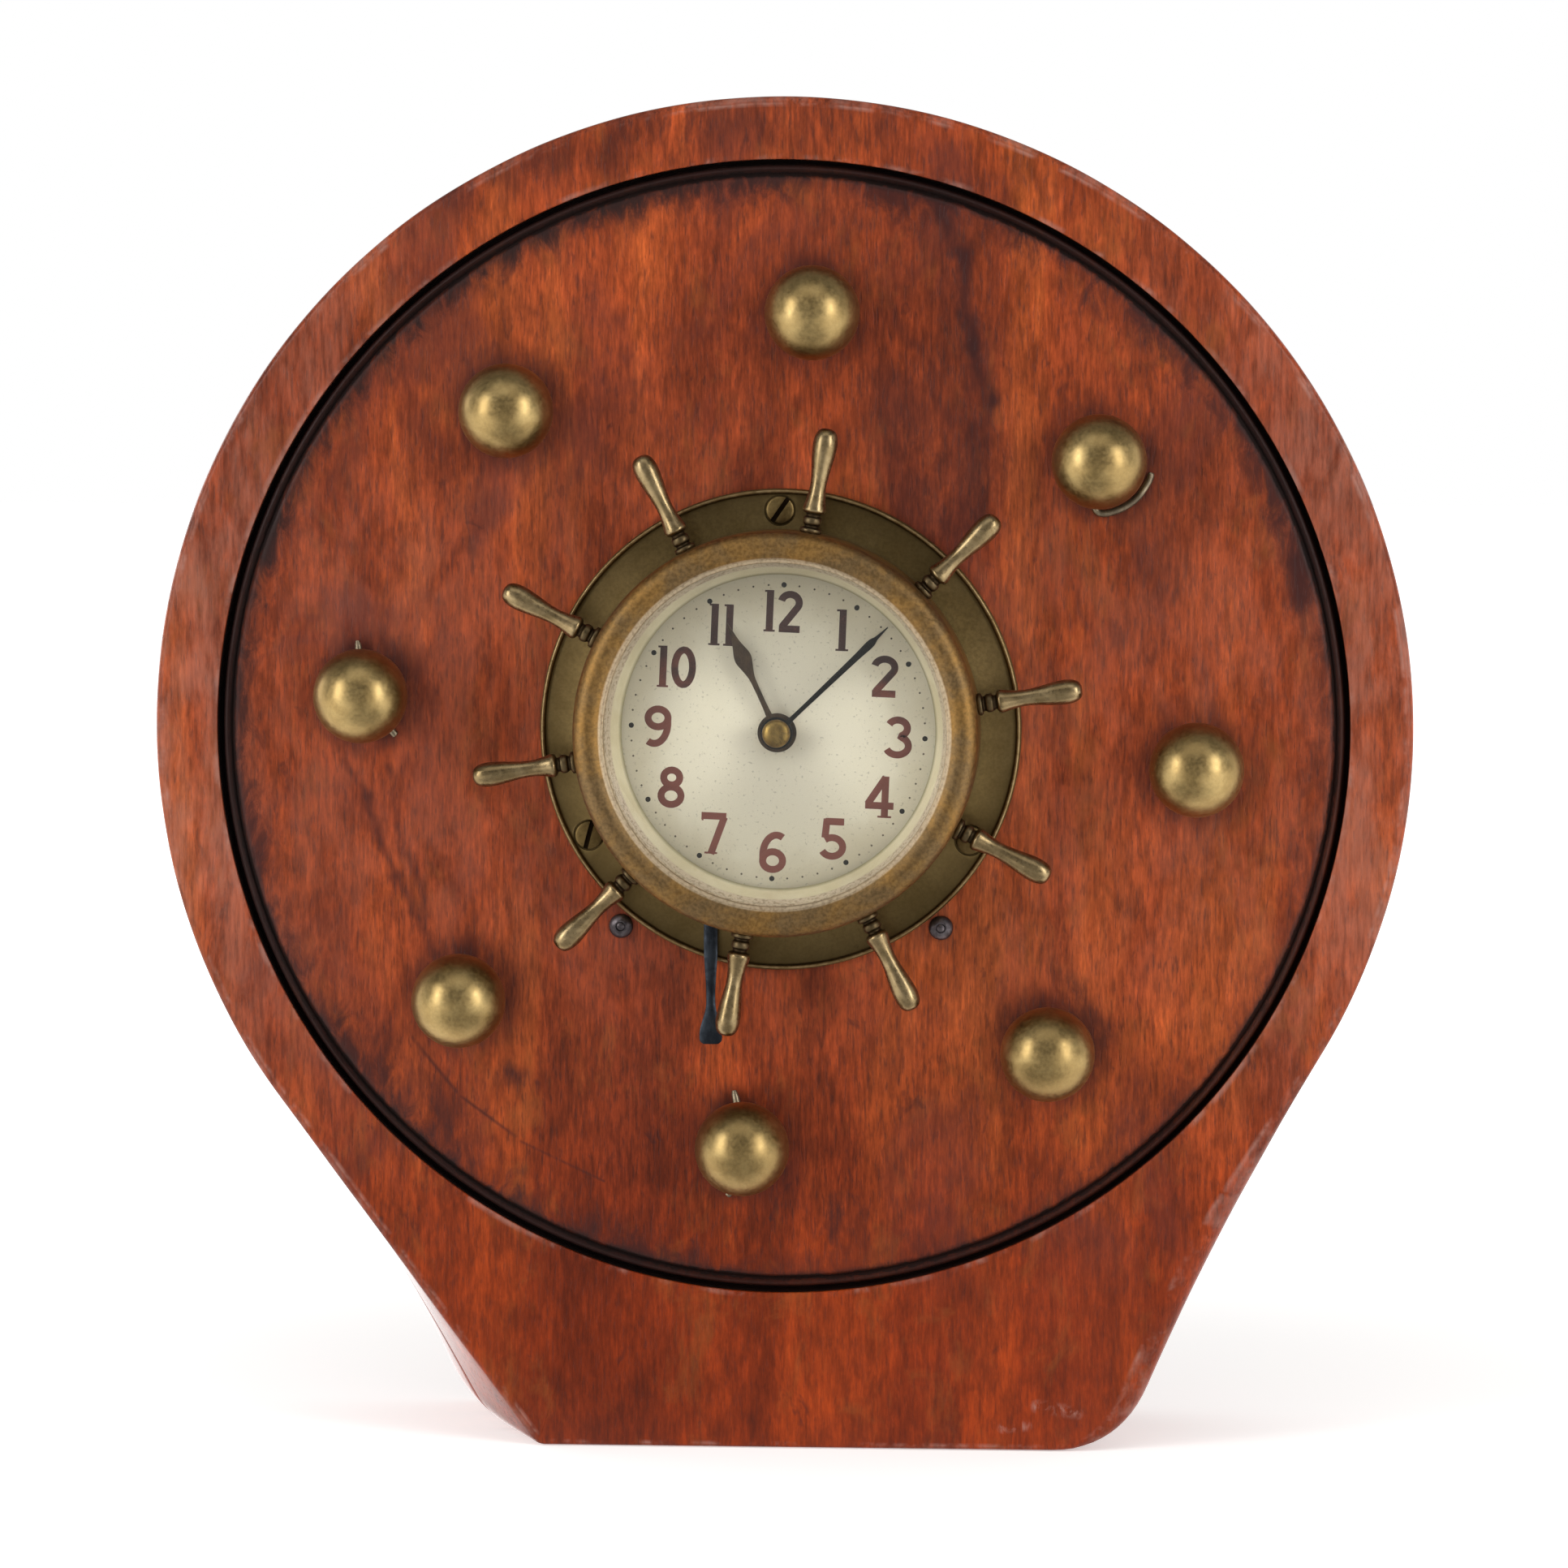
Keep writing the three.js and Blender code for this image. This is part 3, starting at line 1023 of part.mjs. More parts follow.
function palletLever() {
  const tipRadius = ESCAPE_RADIUS + PALLET_TIP_GAP;
  const tip = polarPlace(tipRadius, PALLET_TIP_ANGLE, [-PALLET_DISTANCE, 0]);
  const half = PALLET_ARM_WIDTH / 2;
  const eye = PIVOT_RADIUS + FIT + PALLET_ARM_WIDTH;
  const shape = polygon([
    [PALLET_FORK_REACH, half], [eye, half], [eye * 0.5, eye], [tip[0] + half, tip[1] + half], tip,
    [-eye, half], [-eye, -half], [tip[0], -tip[1]], [tip[0] + half, -tip[1] - half], [eye * 0.5, -eye],
    [eye, -half], [PALLET_FORK_REACH, -half],
  ]);
  shape.holes.push(roundHole(PIVOT_RADIUS + FIT));
  const blank = plate(shape, escapeLevel, WHEEL_THICKNESS, BORE_FACETS / 2);
  return toSolid(blank.rotateZ(radians(ESCAPE_DIRECTION)));
}

addNode('pallet_lever', palletLever(), steel, palletPlace);

// Balance wheel with its staff and roller, and the flat hairspring
function balanceWheel() {
  const staff = toSolid(rod(PIVOT_RADIUS, backPlateRear, frontPlateTop, BORE_FACETS));
  const top = balanceLevel + BALANCE_THICKNESS;
  const rimHole = BALANCE_RADIUS - BALANCE_RIM_WIDTH;
  const rim = toSolid(ring(rimHole, BALANCE_RADIUS, balanceLevel, top, BARREL_FACETS));
  const armLength = (BALANCE_RADIUS - BALANCE_RIM_WIDTH / 2) * 2;
  const arm = new THREE.BoxGeometry(armLength, BALANCE_RIM_WIDTH, BALANCE_THICKNESS);
  const roller = toSolid(rod(ROLLER_RADIUS, escapeLevel, escapeLevel + WHEEL_THICKNESS, SMALL_FACETS));
  return union(staff, rim, toSolid(arm.translate(0, 0, balanceLevel + BALANCE_THICKNESS / 2)), roller);
}

addNode('balance_wheel', balanceWheel(), brass, balancePlace);
const hairStrip = spiralStrip(HAIRSPRING_INNER, HAIRSPRING_OUTER, HAIRSPRING_TURNS, HAIRSPRING_WIDTH);
const hairspring = toSolid(plate(hairStrip, hairspringLevel, HAIRSPRING_WIDTH));
addNode('hairspring', hairspring, blueSteel, balancePlace);

// Motion work: cannon pinion, minute wheel and hour wheel
const cannonPhase = 0;
const minuteWheelPhase = meshPhase(MOTION_DIRECTION, cannonPhase, CANNON_LEAVES, MINUTE_WHEEL_TEETH);
const minutePinionPhase = 0;
const hourDirection = MOTION_DIRECTION + 180;
const hourWheelPhase = meshPhase(hourDirection, minutePinionPhase, MINUTE_PINION_LEAVES, HOUR_WHEEL_TEETH);

function cannonPinion() {
  const outline = pinionOutline(CANNON_LEAVES, cannonModule, cannonPhase);
  const leaves = boredWheel(outline, cannonBore, motionLower, MOTION_HEIGHT);
  return union(leaves, toSolid(ring(cannonBore, cannonPipe, motionLower, pipeTop, SMALL_FACETS)));
}

function minuteWheel() {
  const bore = STUD_RADIUS + FIT;
  const wheel = wheelOutline(MINUTE_WHEEL_TEETH, cannonModule, minuteWheelPhase);
  const lower = boredWheel(wheel, bore, motionLower, MOTION_HEIGHT);
  const pinion = pinionOutline(MINUTE_PINION_LEAVES, hourModule, minutePinionPhase);
  const upperBottom = motionLower + MOTION_HEIGHT / 2;
  const upperTop = motionUpper + MOTION_HEIGHT;
  return union(lower, boredWheel(pinion, bore, upperBottom, upperTop - upperBottom));
}

function hourWheel() {
  const outline = wheelOutline(HOUR_WHEEL_TEETH, hourModule, hourWheelPhase);
  const wheel = boredWheel(outline, hourBore, motionUpper, MOTION_HEIGHT);
  const top = hourHandLevel + HAND_THICKNESS + SEAT;
  return union(wheel, toSolid(ring(hourBore, hourPipe, motionUpper, top, SMALL_FACETS)));
}

addNode('cannon_pinion', cannonPinion(), steel);
addNode('minute_wheel', minuteWheel(), brass, minutePlace);
addNode('hour_wheel', hourWheel(), brass);

const propellerClock = new THREE.Group();
propellerClock.add(clockGroup);

export default propellerClock;
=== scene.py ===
from math import acos, asin, atan2, cos, degrees, hypot, pi, radians, sin, tau

import bmesh
import bpy
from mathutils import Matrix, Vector, noise


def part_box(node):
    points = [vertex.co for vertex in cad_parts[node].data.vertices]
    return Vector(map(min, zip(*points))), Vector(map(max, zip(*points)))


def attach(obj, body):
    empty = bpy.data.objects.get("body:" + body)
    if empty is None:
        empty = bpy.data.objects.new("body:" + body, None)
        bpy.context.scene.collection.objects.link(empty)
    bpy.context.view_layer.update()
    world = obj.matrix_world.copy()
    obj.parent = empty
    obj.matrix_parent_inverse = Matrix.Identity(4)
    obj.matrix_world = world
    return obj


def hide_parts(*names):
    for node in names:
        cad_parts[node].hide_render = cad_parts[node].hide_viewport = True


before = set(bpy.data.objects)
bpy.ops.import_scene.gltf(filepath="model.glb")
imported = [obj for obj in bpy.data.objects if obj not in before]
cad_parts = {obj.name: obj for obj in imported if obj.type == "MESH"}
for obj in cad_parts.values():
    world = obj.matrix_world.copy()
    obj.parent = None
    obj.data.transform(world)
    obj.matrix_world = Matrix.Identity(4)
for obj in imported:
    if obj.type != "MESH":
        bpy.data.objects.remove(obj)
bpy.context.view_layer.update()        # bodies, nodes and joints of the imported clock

scene = bpy.context.scene
mm = 0.001

# The wooden hub: three boards glued face to face, round above and spread into a foot
hub = {
    "radius": 127.0,
    "board": 19.0,
    "boards": 3,
    "recess": 1.0,           # depth of the dished face
    "bore": 37.0,
    "boreEdge": 0.6,
    "boltHole": 6.3,
    "straightFoot": 49.3,
    "hollowFoot": 69.0,
    "hollowStart": 30.5,     # degrees below the horizontal
    "kneeShare": 0.552,
    "hollowCorner": 14.0,
    "straightCorner": 1.5,
    "arris": 1.5,            # rounding of the front and rear edges
    "easedArris": 4.4,       # worn rounding low on the right
    "easedShare": 0.35,      # of the right side, before it goes over to the plain arris
    "footArris": 0.7,
    "leftFootArris": 1.0,
    "glueLine": 0.22,        # tiny bevel where two boards meet
    "wear": 0.08,            # how far the worn outline wanders inward
    "wearScale": (0.06, 0.05),       # of the wandering, over the outline and through the depth
    "nickScale": (0.21, 0.3),
    "nickShift": 9.1,
    "nickLimit": 0.42,       # only bites past this make a nick
    "nickDepth": 1.6,
    "arcSteps": 300,
    "sideSteps": 60,
    "cornerSteps": 12,
    "baseSteps": 40,
    "arrisSteps": 6,
    "wallSteps": 6,
    "faceRings": (52, 62, 74, 86, 96, 104, 109),
    # radius and height round the face: a hollow, a small bead, and the groove under the rim
    "groove": [
        (109.8, 0), (110.5, -0.05), (110.95, -0.35), (111.25, -0.9), (111.5, -1.15), (111.8, -0.9),
        (112.1, -0.4), (112.45, -0.15), (112.8, -0.25), (113.1, -0.7), (113.35, -1.7), (113.6, -2.8),
        (113.9, -3.2), (114.15, -2.7), (114.3, -1.2), (114.3, 0.45), (114.42, 0.84), (114.8, 1.0),
        (115.6, 1.0),
    ],
}

boardLow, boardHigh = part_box("front_board")
axisHeight = boardHigh[2] / mm - hub["radius"]
recessLevel = boardLow[1] / mm + hub["recess"]


# Clock places are in millimetres: x right, y up from the hub's axis, u out towards the viewer
def spot(x, y, u):
    return Vector((x * mm, (recessLevel - u) * mm, (axisHeight + y) * mm))


# Degrees run clockwise from the top, as on the dial
def clockPlace(radius, turn):
    angle = radians(turn)
    return radius * sin(angle), radius * cos(angle)


def blend(a, b, share):
    return a + (b - a) * share


def ease(share):
    share = min(1.0, max(0.0, share))
    return share * share * (3 - 2 * share)


def colour(code):
    parts = [int(code[i:i + 2], 16) / 255 for i in (0, 2, 4)]
    linear = [p / 12.92 if p <= 0.04045 else ((p + 0.055) / 1.055) ** 2.4 for p in parts]
    return (*linear, 1.0)


# A node tree, with short words for what is used most
class Nodes:
    def __init__(self, tree):
        self.tree = tree

    def add(self, kind, inputs=None, **settings):
        made = self.tree.nodes.new("ShaderNode" + kind)
        for key, value in settings.items():
            setattr(made, key, value)
        for key, value in (inputs or {}).items():
            self.feed(made.inputs[key], value)
        return made

    def feed(self, socket, value):
        if isinstance(value, bpy.types.NodeSocket):
            self.tree.links.new(value, socket)
        else:
            socket.default_value = colour(value) if isinstance(value, str) else value

    def maths(self, operation, a, b=0.0, c=0.0):
        return self.add("Math", {0: a, 1: b, 2: c}, operation=operation).outputs[0]

    # The same operation from each value to the next
    def chain(self, operation, value, *others):
        for other in others:
            value = self.maths(operation, value, other)
        return value

    def times(self, *values):
        return self.chain("MULTIPLY", *values)

    def plus(self, *values):
        return self.chain("ADD", *values)

    def most(self, *values):
        return self.chain("MAXIMUM", *values)

    def minus(self, a, b):
        return self.maths("SUBTRACT", a, b)

    def distance(self, a, b):
        return self.maths("SQRT", self.plus(self.times(a, a), self.times(b, b)))

    def apart(self, vector):
        return self.add("SeparateXYZ", {0: vector}).outputs

    def band(self, value, low, high, start=0.0, end=1.0):
        return self.add("MapRange", {
            "Value": value, "From Min": low, "From Max": high, "To Min": start, "To Max": end,
        }, interpolation_type="SMOOTHSTEP").outputs[0]


# Finishes are built on object coordinates, which are metres in the clock's own frame
class Finish(Nodes):
    sockets = {
        "base": "Base Color", "rough": "Roughness", "metal": "Metallic", "coat": "Coat Weight",
        "coatRough": "Coat Roughness", "coatIor": "Coat IOR", "specular": "Specular IOR Level", "ior": "IOR",
        "clear": "Transmission Weight", "normal": "Normal", "aniso": "Anisotropic",
        "anisoTurn": "Anisotropic Rotation", "tangent": "Tangent",
    }

    def __init__(self, name):
        self.material = bpy.data.materials.new(name)
        self.material.use_nodes = True
        super().__init__(self.material.node_tree)
        self.shader = self.tree.nodes["Principled BSDF"]
        self.place = self.add("TexCoord").outputs["Object"]

    def surface(self, **values):
        for key, value in values.items():
            self.feed(self.shader.inputs[self.sockets[key]], value)

    def shows(self, shader):
        self.tree.links.new(shader.outputs[0], self.tree.nodes["Material Output"].inputs["Surface"])

    def noise(self, scale, detail=3.0, rough=0.55, warp=0.0, shift=(0, 0, 0)):
        scale = scale if isinstance(scale, tuple) else (scale,) * 3
        stretched = self.add("Mapping", {"Vector": self.place, "Scale": scale, "Location": shift})
        return self.add("TexNoise", {
            "Vector": stretched.outputs[0], "Scale": 1.0, "Detail": detail, "Roughness": rough,
            "Distortion": warp,
        }).outputs[0]

    def mix(self, factor, a, b):
        return self.add("Mix", {0: factor, 6: a, 7: b}, data_type="RGBA").outputs[2]

    def scaled(self, base, factor):
        return self.add("VectorMath", {0: base, "Scale": factor}, operation="SCALE").outputs[0]

    def ramp(self, value, stops):
        made = self.add("ValToRGB", {0: value})
        steps = made.color_ramp.elements
        while len(steps) < len(stops):
            steps.new(0.5)
        for step, (position, code) in zip(steps, stops):
            step.position = position
            step.color = colour(code)
        return made.outputs[0]

    def attribute(self, name):
        return self.add("Attribute", attribute_name=name).outputs["Fac"]

    def facing(self):
        return self.apart(self.add("NewGeometry").outputs["Normal"])

    def bump(self, height, strength, depth):
        made = self.add("Bump", {"Height": height, "Strength": strength, "Distance": depth * mm})
        self.surface(normal=made.outputs[0])

    # Marks of turning run round the axis that points at the viewer
    def turned(self, amount):
        around = self.add("Tangent", direction_type="RADIAL", axis="Y")
        self.surface(aniso=amount, anisoTurn=0.25, tangent=around.outputs[0])

    # Millimetres right of, above and round the hub's axis, and out from the recessed face
    def facePlace(self):
        parts = self.apart(self.place)
        x = self.times(parts[0], 1 / mm)
        y = self.minus(self.times(parts[2], 1 / mm), axisHeight)
        return x, y, self.distance(x, y), self.minus(recessLevel, self.times(parts[1], 1 / mm))

    # One near the line from a to b, falling to nothing at the given width
    def stroke(self, x, y, a, b, width):
        run = (b[0] - a[0], b[1] - a[1])
        square = run[0] ** 2 + run[1] ** 2
        px, py = self.minus(x, a[0]), self.minus(y, a[1])
        along = self.plus(self.times(px, run[0] / square), self.times(py, run[1] / square))
        along = self.maths("MINIMUM", self.most(along, 0.0), 1.0)
        qx, qy = (self.minus(p, self.times(along, step)) for p, step in ((px, run[0]), (py, run[1])))
        return self.band(self.distance(qx, qy), 0.0, width, 1.0, 0.0)


ballKnob = {
    "count": 8,
    "circle": 84.0,
    "turn": 4.8,
    "radius": 9.5,
    "standoff": 11.75,
    "neck": 5.0,
    # radius and height of the spigot and the neck behind the ball
    "stem": [(0, -24.0), (5.6, -24.0), (6.0, -23.6), (6.0, -0.1), (5.8, 0.1), (5.0, 0.12), (5.0, 2.4)],
    "darkenedShare": 0.22,     # of the ball, next to the neck, darkened with grime and painted shade
    "centreMark": 0.5,
    "dent": 0.05,
    "pit": 0.12,
    "segments": 64,
    "rings": 34,
}


def ballPlace(number):
    return clockPlace(ballKnob["circle"], ballKnob["turn"] + (number - 1) * 360 / ballKnob["count"])


woodLook = {
    "ribbon": [(0.32, "773016"), (0.50, "933e1a"), (0.68, "ab5223")],
    "footRibbon": [(0.32, "6d2406"), (0.50, "7c2b08"), (0.68, "8a330b")],
    "stainAndShade": "3a1b18",
    "tan": "9a5626",
    "plum": "5d2b24",
    "paintedSheen": "a26c5a",       # pale colour painted as sheen on the rim's left and right and across the middle of the face
    "grime": "120b09",
    "scuffAndHighlight": "b98f82",
    "pore": "32120b",
    # Noises: scale across and along the grain, detail, roughness, warp
    "grain": {
        "ribbon": (38, 6, 4, 0.6, 0.5),
        "mottle": (130, 50, 5, 0.64, 0.4),
        "broad": (55, 24, 4, 0.6, 0.5),
        "streak": (1100, 130, 4, 0.66, 0.0),
        "fibre": (2700, 330, 2, 0.6, 0.0),
        "pore": (1800, 260, 2, 0.5, 0.0),
        "patch": (24, 14, 5, 0.64, 0.6),
        "chatter": (420, 180, 4, 0.65, 0.3),
        "tan": (85, 50, 5, 0.7, 0.5),
        "fleck": (150, 80, 4, 0.65, 0.5),
        "ragged": (110, 40, 5, 0.7, 0.4),
        "waver": (90, 90, 2, 0.5, 0.0),
        "broken": (160, 60, 4, 0.65, 0.3),
        "smear": (260, 120, 5, 0.7, 0.6),
        "rub": (90, 90, 4, 0.7, 0.3),
        "gloss": (30, 18, 3, 0.6, 0.2),
    },
    # Old stains on the face: start, end, width and depth of colour
    "stains": [
        ((34, 106), (39, 44), 14, 0.45),
        ((24, 66), (34, 36), 13, 0.5),
        ((-66, 108), (-20, 122), 9, 0.6),
        ((-20, 122), (20, 122), 9, 0.5),
        ((16, 100), (20, 60), 12, 0.3),
        ((103, 34), (104, 27), 5, 0.95),
        ((-82, -64), (-66, -82), 8, 0.7),
        ((-56, -70), (-53, -71), 3.5, 0.9),
        ((58, -50), (66, -62), 4, 0.6),
        ((11, -96), (10, -104), 3.5, 0.8),
        ((66, 62), (76, 20), 16, 0.3),
        ((-22, -84), (24, -104), 9, 0.3),
        ((-70, 60), (-62, 30), 10, 0.3),
    ],
    # Dark cracks, with the same numbers
    "cracks": [
        ((31, 108), (35.5, 95), 2.6, 0.9),
        ((35.5, 95), (37.3, 77), 3.2, 1.0),
        ((37.3, 77), (41, 66), 2.8, 1.0),
        ((41, 66), (38, 41), 2.6, 0.8),
        ((20.6, 89), (35.5, 61), 1.8, 0.45),
        ((-87, -7), (-85, -14), 1.6, 0.5),
        ((-85, -14), (-79, -30), 2.0, 0.7),
        ((-79, -30), (-71, -46), 1.8, 0.6),
        ((-80, -8), (-77, -20), 1.8, 0.6),
        ((-77, -20), (-73, -38), 1.6, 0.5),
    ],
    # Lines scribed with dividers, and pale scuffs low on the right: start, end and width
    "scribes": [
        ((-75, -63), (-66, -74), 0.7),
        ((-65, -75), (-54, -83), 0.6),
        ((-53, -84), (-36, -92), 0.5),
    ],
    "scuffs": [((52, -137.0), (60, -138.2), 1.8), ((45, -141.5), (50, -141.0), 1.4)],
}


# Distance in millimetres to the nearest ball's centre, which repeats eight times round the face
def ballDistance(wood, x, y, radius):
    share = 360 / ballKnob["count"]
    turn = wood.times(wood.maths("ARCTAN2", x, y), degrees(1) / share)
    turn = wood.minus(turn, ballKnob["turn"] / share)
    off = wood.times(wood.minus(turn, wood.maths("ROUND", turn)), radians(share))
    out = wood.minus(wood.times(radius, wood.maths("COSINE", off)), ballKnob["circle"])
    return wood.distance(out, wood.times(radius, wood.maths("SINE", off)))


def woodFinish(name, shift, faced):
    wood = Finish(name)
    look = woodLook
    band, mix, times, plus = wood.band, wood.mix, wood.times, wood.plus

    def grain(kind):
        across, along, detail, rough, warp = look["grain"][kind]
        return wood.noise((across, across, along), detail, rough, warp, shift)

    # Lays one of the colours over the wood, as thickly as the factors say
    def tint(base, tone, *factors):
        return mix(times(*factors), base, look[tone])

    # Strokes of one kind, some with a depth of their own
    def marked(base, kind, tone, across, fade):
        for start, end, width, *depth in look[kind]:
            base = tint(base, tone, wood.stroke(across, y, start, end, width), fade, *depth)
        return base

    ribbon, mottle, broad, streak = (grain(kind) for kind in ("ribbon", "mottle", "broad", "streak"))
    pore = band(grain("pore"), 0.58, 0.67)
    x, y, radius, height = wood.facePlace()
    foot = band(y, -122.0, -92.0, 1.0, 0.0)
    lower = band(y, -118.0, -36.0, 1.0, 0.0)
    base = mix(lower, wood.ramp(ribbon, look["ribbon"]), wood.ramp(ribbon, look["footRibbon"]))
    base = wood.scaled(base, band(broad, 0.30, 0.70, 0.80, 1.20))
    base = wood.scaled(base, band(mottle, 0.25, 0.75, 0.78, 1.24))
    # the streaks are calmer on the foot
    calm = band(foot, 0.0, 1.0, 0.34, 0.2)
    base = wood.scaled(base, plus(times(band(streak, 0.28, 0.72, -1.0, 1.0), calm), 1.0))
    base = wood.scaled(base, band(grain("fibre"), 0.2, 0.8, 0.82, 1.18))
    base = wood.scaled(base, band(grain("chatter"), 0.28, 0.72, 0.76, 1.22))
    base = tint(base, "tan", band(grain("tan"), 0.52, 0.70), 0.3)
    base = tint(base, "pore", pore, band(foot, 0.0, 1.0, 0.36, 0.18))
    base = tint(base, "plum", band(grain("patch"), 0.50, 0.68), band(foot, 0.0, 1.0, 0.55, 0.12))
    base = tint(base, "stainAndShade", band(grain("fleck"), 0.64, 0.72), 0.5)
    aside, away = wood.maths("ABSOLUTE", x), wood.maths("ABSOLUTE", y)
    # painted sheen: paler on the rim to the left and right, and in a band across the middle of the face
    base = tint(base, "paintedSheen", band(height, 0.5, 0.9), band(y, -100.0, -20.0), band(aside, 60.0, 112.0),
                band(mottle, 0.36, 0.64, 0.08, 0.44), band(streak, 0.3, 0.6, 0.45, 1.0))
    base = tint(base, "paintedSheen", band(away, 25.0, 75.0, 0.15, 0.0), band(mottle, 0.34, 0.66))
    if faced:
        ragged, smear = grain("ragged"), grain("smear")
        base = marked(base, "stains", "stainAndShade", x, band(ragged, 0.36, 0.58))
        # cracks waver a little to either side
        waver = plus(x, band(grain("waver"), 0.3, 0.7, -1.5, 1.5))
        base = marked(base, "cracks", "stainAndShade", waver, band(grain("broken"), 0.34, 0.54, 0.45, 0.9))
        base = marked(base, "scribes", "stainAndShade", x, band(mottle, 0.3, 0.6, 0.2, 0.7))
        # painted shade: the wood is darker round each ball, where its shadow falls
        ballShade = band(ballDistance(wood, x, y, radius), 7.5, 15.5, 1.0, 0.0)
        base = tint(base, "stainAndShade", ballShade, band(ragged, 0.3, 0.62, 0.35, 0.95))
        # grime creeps out of the groove in streaks, less at the lower right
        creep = plus(radius, band(smear, 0.3, 0.7, -3.5, 3.0), band(broad, 0.3, 0.7, -3.0, 2.0),
                     band(streak, 0.3, 0.7, -1.2, 1.2))
        inside = times(band(height, 0.1, 0.5, 1.0, 0.0), band(radius, 115.0, 115.6, 1.0, 0.0))
        quiet = band(wood.minus(x, y), 60.0, 140.0, 0.92, 0.45)
        base = tint(base, "stainAndShade", band(creep, 103.0, 112.5), quiet, inside)
        # black lies in the two hollows beside the bead, and less thickly over it
        waved = plus(radius, band(smear, 0.3, 0.7, -0.35, 0.35))
        hollow = band(wood.maths("ABSOLUTE", wood.minus(waved, 111.5)), 0.35, 1.0, 1.0, 0.0)
        crust = times(band(smear, 0.3, 0.7, 0.9, 0.72), band(waved, 109.7, 111.3))
        # above on the left it spreads further in
        corner = wood.maths("DIVIDE", wood.minus(y, x), radius)
        veil = plus(waved, band(smear, 0.3, 0.7, -0.9, 0.9))
        over = times(band(corner, 0.75, 1.3, 0.0, 0.78), band(veil, 106.4, 111.4))
        black = wood.most(hollow, band(waved, 112.9, 113.5), crust, over)
        black = times(black, inside, band(radius, 114.6, 115.3, 0.94, 0.0))
        base = tint(base, "grime", black)
        base = marked(base, "scuffs", "scuffAndHighlight", x, band(smear, 0.42, 0.6, 0.0, 0.55))
    # pale on rubbed arrises, and a painted highlight line where the front arris meets the face
    base = tint(base, "scuffAndHighlight", wood.attribute("edge"), band(grain("rub"), 0.46, 0.66), 0.5)
    gloss = plus(band(grain("gloss"), 0.3, 0.7, 0.34, 0.50), times(pore, 0.12))
    if faced:
        gloss = plus(gloss, times(black, 0.2))
    # the varnish is still thick on the left side and worn thin on the faces
    rearward = wood.facing()[1]
    varnish = times(band(rearward, -0.56, -0.04), band(rearward, 0.7, 0.98, 1.0, 0.1),
                    band(x, -30.0, 30.0, 1.0, 0.2))
    wood.surface(base=base, rough=gloss, specular=0.2, coat=varnish, coatRough=0.12, coatIor=2.0)
    wood.bump(wood.minus(times(streak, 0.5), pore), 0.35, 0.12)
    return wood.material


def brassFinish(name, bright, dull, tarnish, rough, patch=120, tarnished=(0.45, 0.65), dustAndTopShade=0.0, scratch=0.3,
                grainy=0.12, turned=0.0):
    brass = Finish(name)
    cloud = brass.noise(patch, 5, 0.65, 0.4)
    speck = brass.noise(1400, 3, 0.6)
    base = brass.mix(brass.band(cloud, 0.35, 0.62), bright, dull)
    base = brass.scaled(base, brass.band(speck, 0.3, 0.7, 1 - grainy, 1 + grainy))
    stainAndShade = brass.band(brass.noise(patch * 2.3, 5, 0.7, 0.6), *tarnished)
    # tarnish stains, with grime and painted shade from the mesh's dark value in grooves, slots and under lips
    stainAndShade = brass.most(brass.times(stainAndShade, 0.75), brass.attribute("grimeAndShade"))
    base = brass.mix(stainAndShade, base, tarnish)
    rubbed = brass.times(brass.attribute("edge"), brass.band(speck, 0.3, 0.6, 0.5, 1.0))
    base = brass.mix(rubbed, base, "cdbb9f")
    if turned:
        brass.turned(turned)
    if dustAndTopShade:
        # painted shade: upper sides are darker towards the tarnish colour, with dust
        up = brass.plus(brass.facing()[2], brass.band(cloud, 0.3, 0.7, -0.15, 0.15))
        base = brass.mix(brass.times(brass.band(up, 0.15, 0.95), dustAndTopShade), base, tarnish)
    worn = brass.band(speck, 0.25, 0.75, rough - 0.06, rough + 0.08)
    brass.surface(base=base, rough=brass.plus(worn, brass.times(stainAndShade, 0.18)), metal=1.0)
    brass.bump(brass.plus(brass.times(cloud, 0.4), speck), scratch, 0.03)
    return brass.material


def steelFinish(name, light, dark, rough, metal=1.0, specular=0.5):
    steel = Finish(name)
    cloud = steel.noise(300, 4, 0.6, 0.3)
    grain = steel.noise((2600, 2600, 500), 3, 0.6)
    base = steel.mix(steel.band(cloud, 0.35, 0.65), light, dark)
    base = steel.scaled(base, steel.band(grain, 0.3, 0.7, 0.85, 1.15))
    worn = steel.band(cloud, 0.3, 0.7, rough - 0.06, rough + 0.1)
    steel.surface(base=base, rough=worn, metal=metal, specular=specular)
    steel.bump(grain, 0.25, 0.02)
    return steel.material


# Silver rubbed round in circles, so that light gathers left and right of the centre
def dialFinish():
    card = Finish("agedDialSilverWithPaintedShade")
    _, y, radius, _ = card.facePlace()
    cloud = card.noise(45, 4, 0.6, 0.3)
    speck = card.noise(1700, 2, 0.6)
    # darker towards the edge, as ageing and as painted shade from the sight ring
    ageAndEdgeShade = card.plus(radius, card.band(cloud, 0.3, 0.7, -4.0, 4.0))
    base = card.ramp(card.band(ageAndEdgeShade, 4.0, 34.0), [(0.0, "f3ebdb"), (0.7, "eee6d4"), (1.0, "dcd2bc")])
    # painted shadow: the silver is darker towards the top, where the rim's shadow falls
    base = card.mix(card.band(y, 6.0, 30.0, 0.0, 0.2), base, "a39880")
    base = card.mix(card.times(card.band(speck, 0.63, 0.70), 0.35), base, "857a66")
    card.surface(base=base, rough=card.band(cloud, 0.3, 0.7, 0.36, 0.44), metal=0.55, specular=0.4)
    card.turned(0.85)
    card.bump(speck, 0.12, 0.02)
    return card.material


